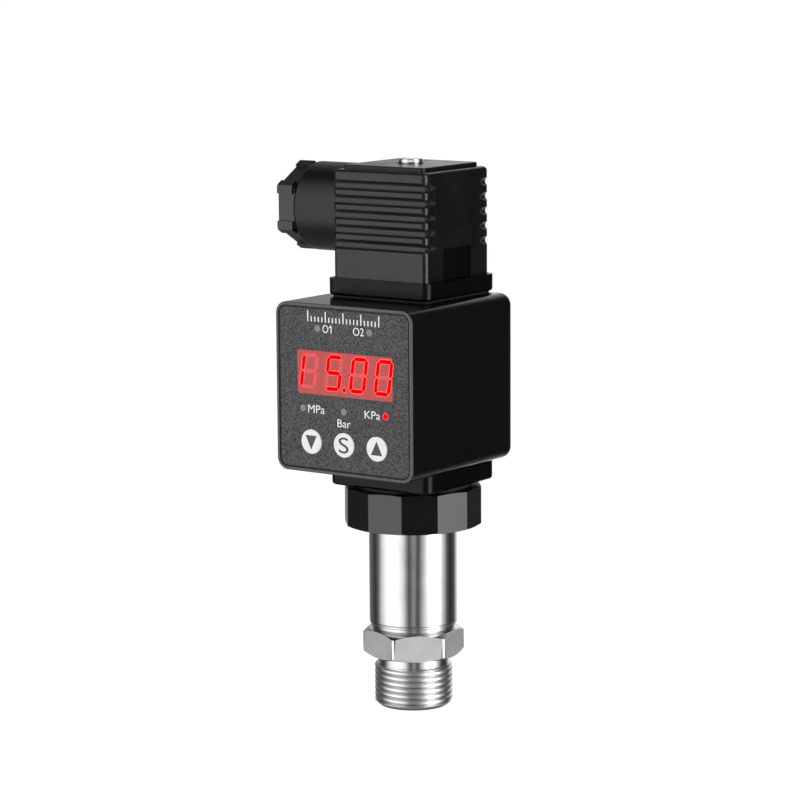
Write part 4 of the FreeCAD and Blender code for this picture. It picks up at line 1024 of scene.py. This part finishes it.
def ring_world(azimuth, ambient, gloss_level):
    """White for the camera, a studio of soft bands for gloss and even light for the rest."""
    world = bpy.data.worlds.new("Studio")
    bpy.context.scene.world = world
    world.use_nodes = True
    tree = world.node_tree
    nodes, links = tree.nodes, tree.links
    nodes.clear()

    def grey_ramp(source, low, high, stops):
        """Grey that follows a value between low and high."""
        share = reckoned(tree, "DIVIDE", reckoned(tree, "SUBTRACT", source, low), high - low)
        ramp = nodes.new("ShaderNodeValToRGB")
        elements = ramp.color_ramp.elements
        for number, (value, grey) in enumerate(stops):
            position = (value - low) / (high - low)
            element = elements[number] if number < 2 else elements.new(position)
            element.position = position
            element.color = (grey, grey, grey, 1)
        links.new(share, ramp.inputs["Fac"])
        return ramp.outputs["Color"]

    def blended(mode, first, second):
        mix = nodes.new("ShaderNodeMix")
        mix.data_type = "RGBA"
        mix.blend_type = mode
        mix.inputs["Factor"].default_value = 1.0
        links.new(first, mix.inputs["A"])
        links.new(second, mix.inputs["B"])
        return mix.outputs["Result"]

    place = nodes.new("ShaderNodeTexCoord")
    turned = nodes.new("ShaderNodeMapping")
    turned.inputs["Rotation"].default_value = (0, 0, -azimuth)
    parts = nodes.new("ShaderNodeSeparateXYZ")
    links.new(place.outputs["Generated"], turned.inputs["Vector"])
    links.new(turned.outputs["Vector"], parts.inputs["Vector"])
    forward = reckoned(tree, "MULTIPLY", parts.outputs["Y"], -1)
    bearing = reckoned(tree, "ARCTAN2", parts.outputs["X"], forward)
    bands = grey_ramp(reckoned(tree, "DEGREES", bearing), -180, 180, STUDIO_RING)
    height = parts.outputs["Z"]
    walls = blended("MULTIPLY", bands, grey_ramp(height, -1, 1, SOFTBOX_HEIGHT))
    seen_by_gloss = blended("LIGHTEN", walls, grey_ramp(height, -1, 1, FLOOR_GLOW))
    path = nodes.new("ShaderNodeLightPath")
    plain, gloss, even = [nodes.new("ShaderNodeBackground") for _ in range(3)]
    even.inputs["Strength"].default_value = ambient
    gloss.inputs["Strength"].default_value = gloss_level
    links.new(seen_by_gloss, gloss.inputs["Color"])
    first, second = nodes.new("ShaderNodeMixShader"), nodes.new("ShaderNodeMixShader")
    result = nodes.new("ShaderNodeOutputWorld")
    links.new(path.outputs["Is Glossy Ray"], first.inputs["Fac"])
    links.new(even.outputs[0], first.inputs[1])
    links.new(gloss.outputs[0], first.inputs[2])
    seen = reckoned(tree, "MAXIMUM", path.outputs["Is Camera Ray"],
                    path.outputs["Is Transmission Ray"])
    links.new(seen, second.inputs["Fac"])
    links.new(first.outputs[0], second.inputs[1])
    links.new(plain.outputs[0], second.inputs[2])
    links.new(second.outputs[0], result.inputs["Surface"])
    for background in (plain, even):
        background.inputs["Color"].default_value = (1, 1, 1, 1)


def direction(azimuth, elevation):
    """From the aim outward, with bearings counted from the display's side."""
    level = math.cos(elevation)
    return Vector((math.sin(azimuth) * level, -math.cos(azimuth) * level, math.sin(elevation)))


def softbox(name, azimuth, elevation, distance, width, height, radiance, aim):
    """Large soft light that faces the aim."""
    data = bpy.data.lights.new(name, "AREA")
    data.shape = "RECTANGLE"
    data.size, data.size_y = width, height
    data.energy = radiance * math.pi * width * height
    lamp = bpy.data.objects.new(name, data)
    bpy.context.scene.collection.objects.link(lamp)
    way = direction(azimuth, elevation)
    lamp.location = aim + way * distance
    lamp.visible_glossy = False
    lamp.rotation_mode = "QUATERNION"
    lamp.rotation_quaternion = (-way).to_track_quat("-Z", "Y")


def floor_material():
    """Plain white floor that stays white for the camera and keeps a faint shadow."""
    material, nodes, links, shader = shader_of("Floor")
    fill(shader, {"Base Color": (0.9, 0.9, 0.9, 1), "Roughness": 0.9, "Specular IOR Level": 0.0})
    path = nodes.new("ShaderNodeLightPath")
    white = nodes.new("ShaderNodeEmission")
    mix = nodes.new("ShaderNodeMixShader")
    white_share, white_strength = 0.8, 1.17
    white.inputs["Strength"].default_value = white_strength
    share = reckoned(material.node_tree, "MULTIPLY", path.outputs["Is Camera Ray"], white_share)
    links.new(share, mix.inputs["Fac"])
    links.new(shader.outputs["BSDF"], mix.inputs[1])
    links.new(white.outputs["Emission"], mix.inputs[2])
    links.new(mix.outputs["Shader"], nodes["Material Output"].inputs["Surface"])
    return material


class TRANSMITTER_OT_stage(bpy.types.Operator):
    """Floor, studio light and camera"""
    bl_idname = "transmitter.stage"
    bl_label = "Stage"

    def execute(self, context):
        stage = settings().stage
        scene = context.scene
        scene.view_settings.view_transform = "Standard"
        azimuth, elevation = stage.azimuth, stage.elevation
        aim = Vector(stage.aim)
        ring_world(azimuth, stage.ambient, stage.gloss)
        reach, wide, tall = 550 * MM, 700 * MM, 800 * MM
        swing = math.radians(56.5)
        for name, bearing in (("Softbox left", azimuth - swing), ("Softbox right", azimuth + swing)):
            softbox(name, bearing, 0.0, reach, wide, tall, stage.key_light, aim)
        half = 40.0
        floor_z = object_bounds()[0][2] - 0.2 * MM
        mesh = bpy.data.meshes.new("floor")
        mesh.from_pydata([(-half, -half, floor_z), (half, -half, floor_z), (half, half, floor_z),
                          (-half, half, floor_z)], [], [(0, 1, 2, 3)])
        floor = new_piece("floor", mesh)
        wear(floor, floor_material())
        floor.visible_glossy = False
        floor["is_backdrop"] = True
        view = bpy.data.cameras.new("Camera")
        view.lens = stage.lens
        view.sensor_width = 36.0
        camera = bpy.data.objects.new("Camera", view)
        scene.collection.objects.link(camera)
        back = direction(azimuth, elevation)
        camera.location = aim + back * stage.distance
        camera.rotation_mode = "QUATERNION"
        level_turn = (-back).to_track_quat("-Z", "Y")
        camera.rotation_quaternion = level_turn @ Quaternion((0, 0, 1), stage.roll)
        scene.camera = camera
        return {"FINISHED"}


# ---------------------------------------------------------------- add-on
class TransmitterSettings(bpy.types.PropertyGroup):
    """Everything a user can change."""
    thread: PointerProperty(type=ThreadSizes)
    readout: PointerProperty(type=ReadoutSizes)
    print: PointerProperty(type=PrintSizes)
    colours: PointerProperty(type=FinishColours)
    stage: PointerProperty(type=StageSettings)


OPERATORS = (
    TRANSMITTER_OT_fitting,
    TRANSMITTER_OT_collar,
    TRANSMITTER_OT_plug_bases,
    TRANSMITTER_OT_display_box,
    TRANSMITTER_OT_readout,
    TRANSMITTER_OT_print,
    TRANSMITTER_OT_keys,
    TRANSMITTER_OT_lights,
    TRANSMITTER_OT_socket,
    TRANSMITTER_OT_gland,
    TRANSMITTER_OT_inner_parts,
    TRANSMITTER_OT_stage,
)


class TRANSMITTER_PT_sidebar(bpy.types.Panel):
    """Sizes, colours and steps of the transmitter"""
    bl_label = "Pressure transmitter"
    bl_space_type = "VIEW_3D"
    bl_region_type = "UI"
    bl_category = "Transmitter"

    def draw(self, context):
        for group in ("thread", "readout", "print", "colours", "stage"):
            values = getattr(context.scene.transmitter, group)
            box = self.layout.box()
            box.label(text=values.rna_type.description or group)
            for name in values.__annotations__:
                box.prop(values, name)
        for operator in OPERATORS:
            self.layout.operator(operator.bl_idname)


CLASSES = (ThreadSizes, ReadoutSizes, PrintSizes, FinishColours, StageSettings,
           TransmitterSettings, *OPERATORS, TRANSMITTER_PT_sidebar)


def register():
    for item in CLASSES:
        bpy.utils.register_class(item)
    bpy.types.Scene.transmitter = PointerProperty(type=TransmitterSettings)


def unregister():
    del bpy.types.Scene.transmitter
    for item in reversed(CLASSES):
        bpy.utils.unregister_class(item)


def main():
    register()
    for operator in OPERATORS:
        group, step = operator.bl_idname.split(".")
        getattr(getattr(bpy.ops, group), step)()


if __name__ == "__main__":
    main()
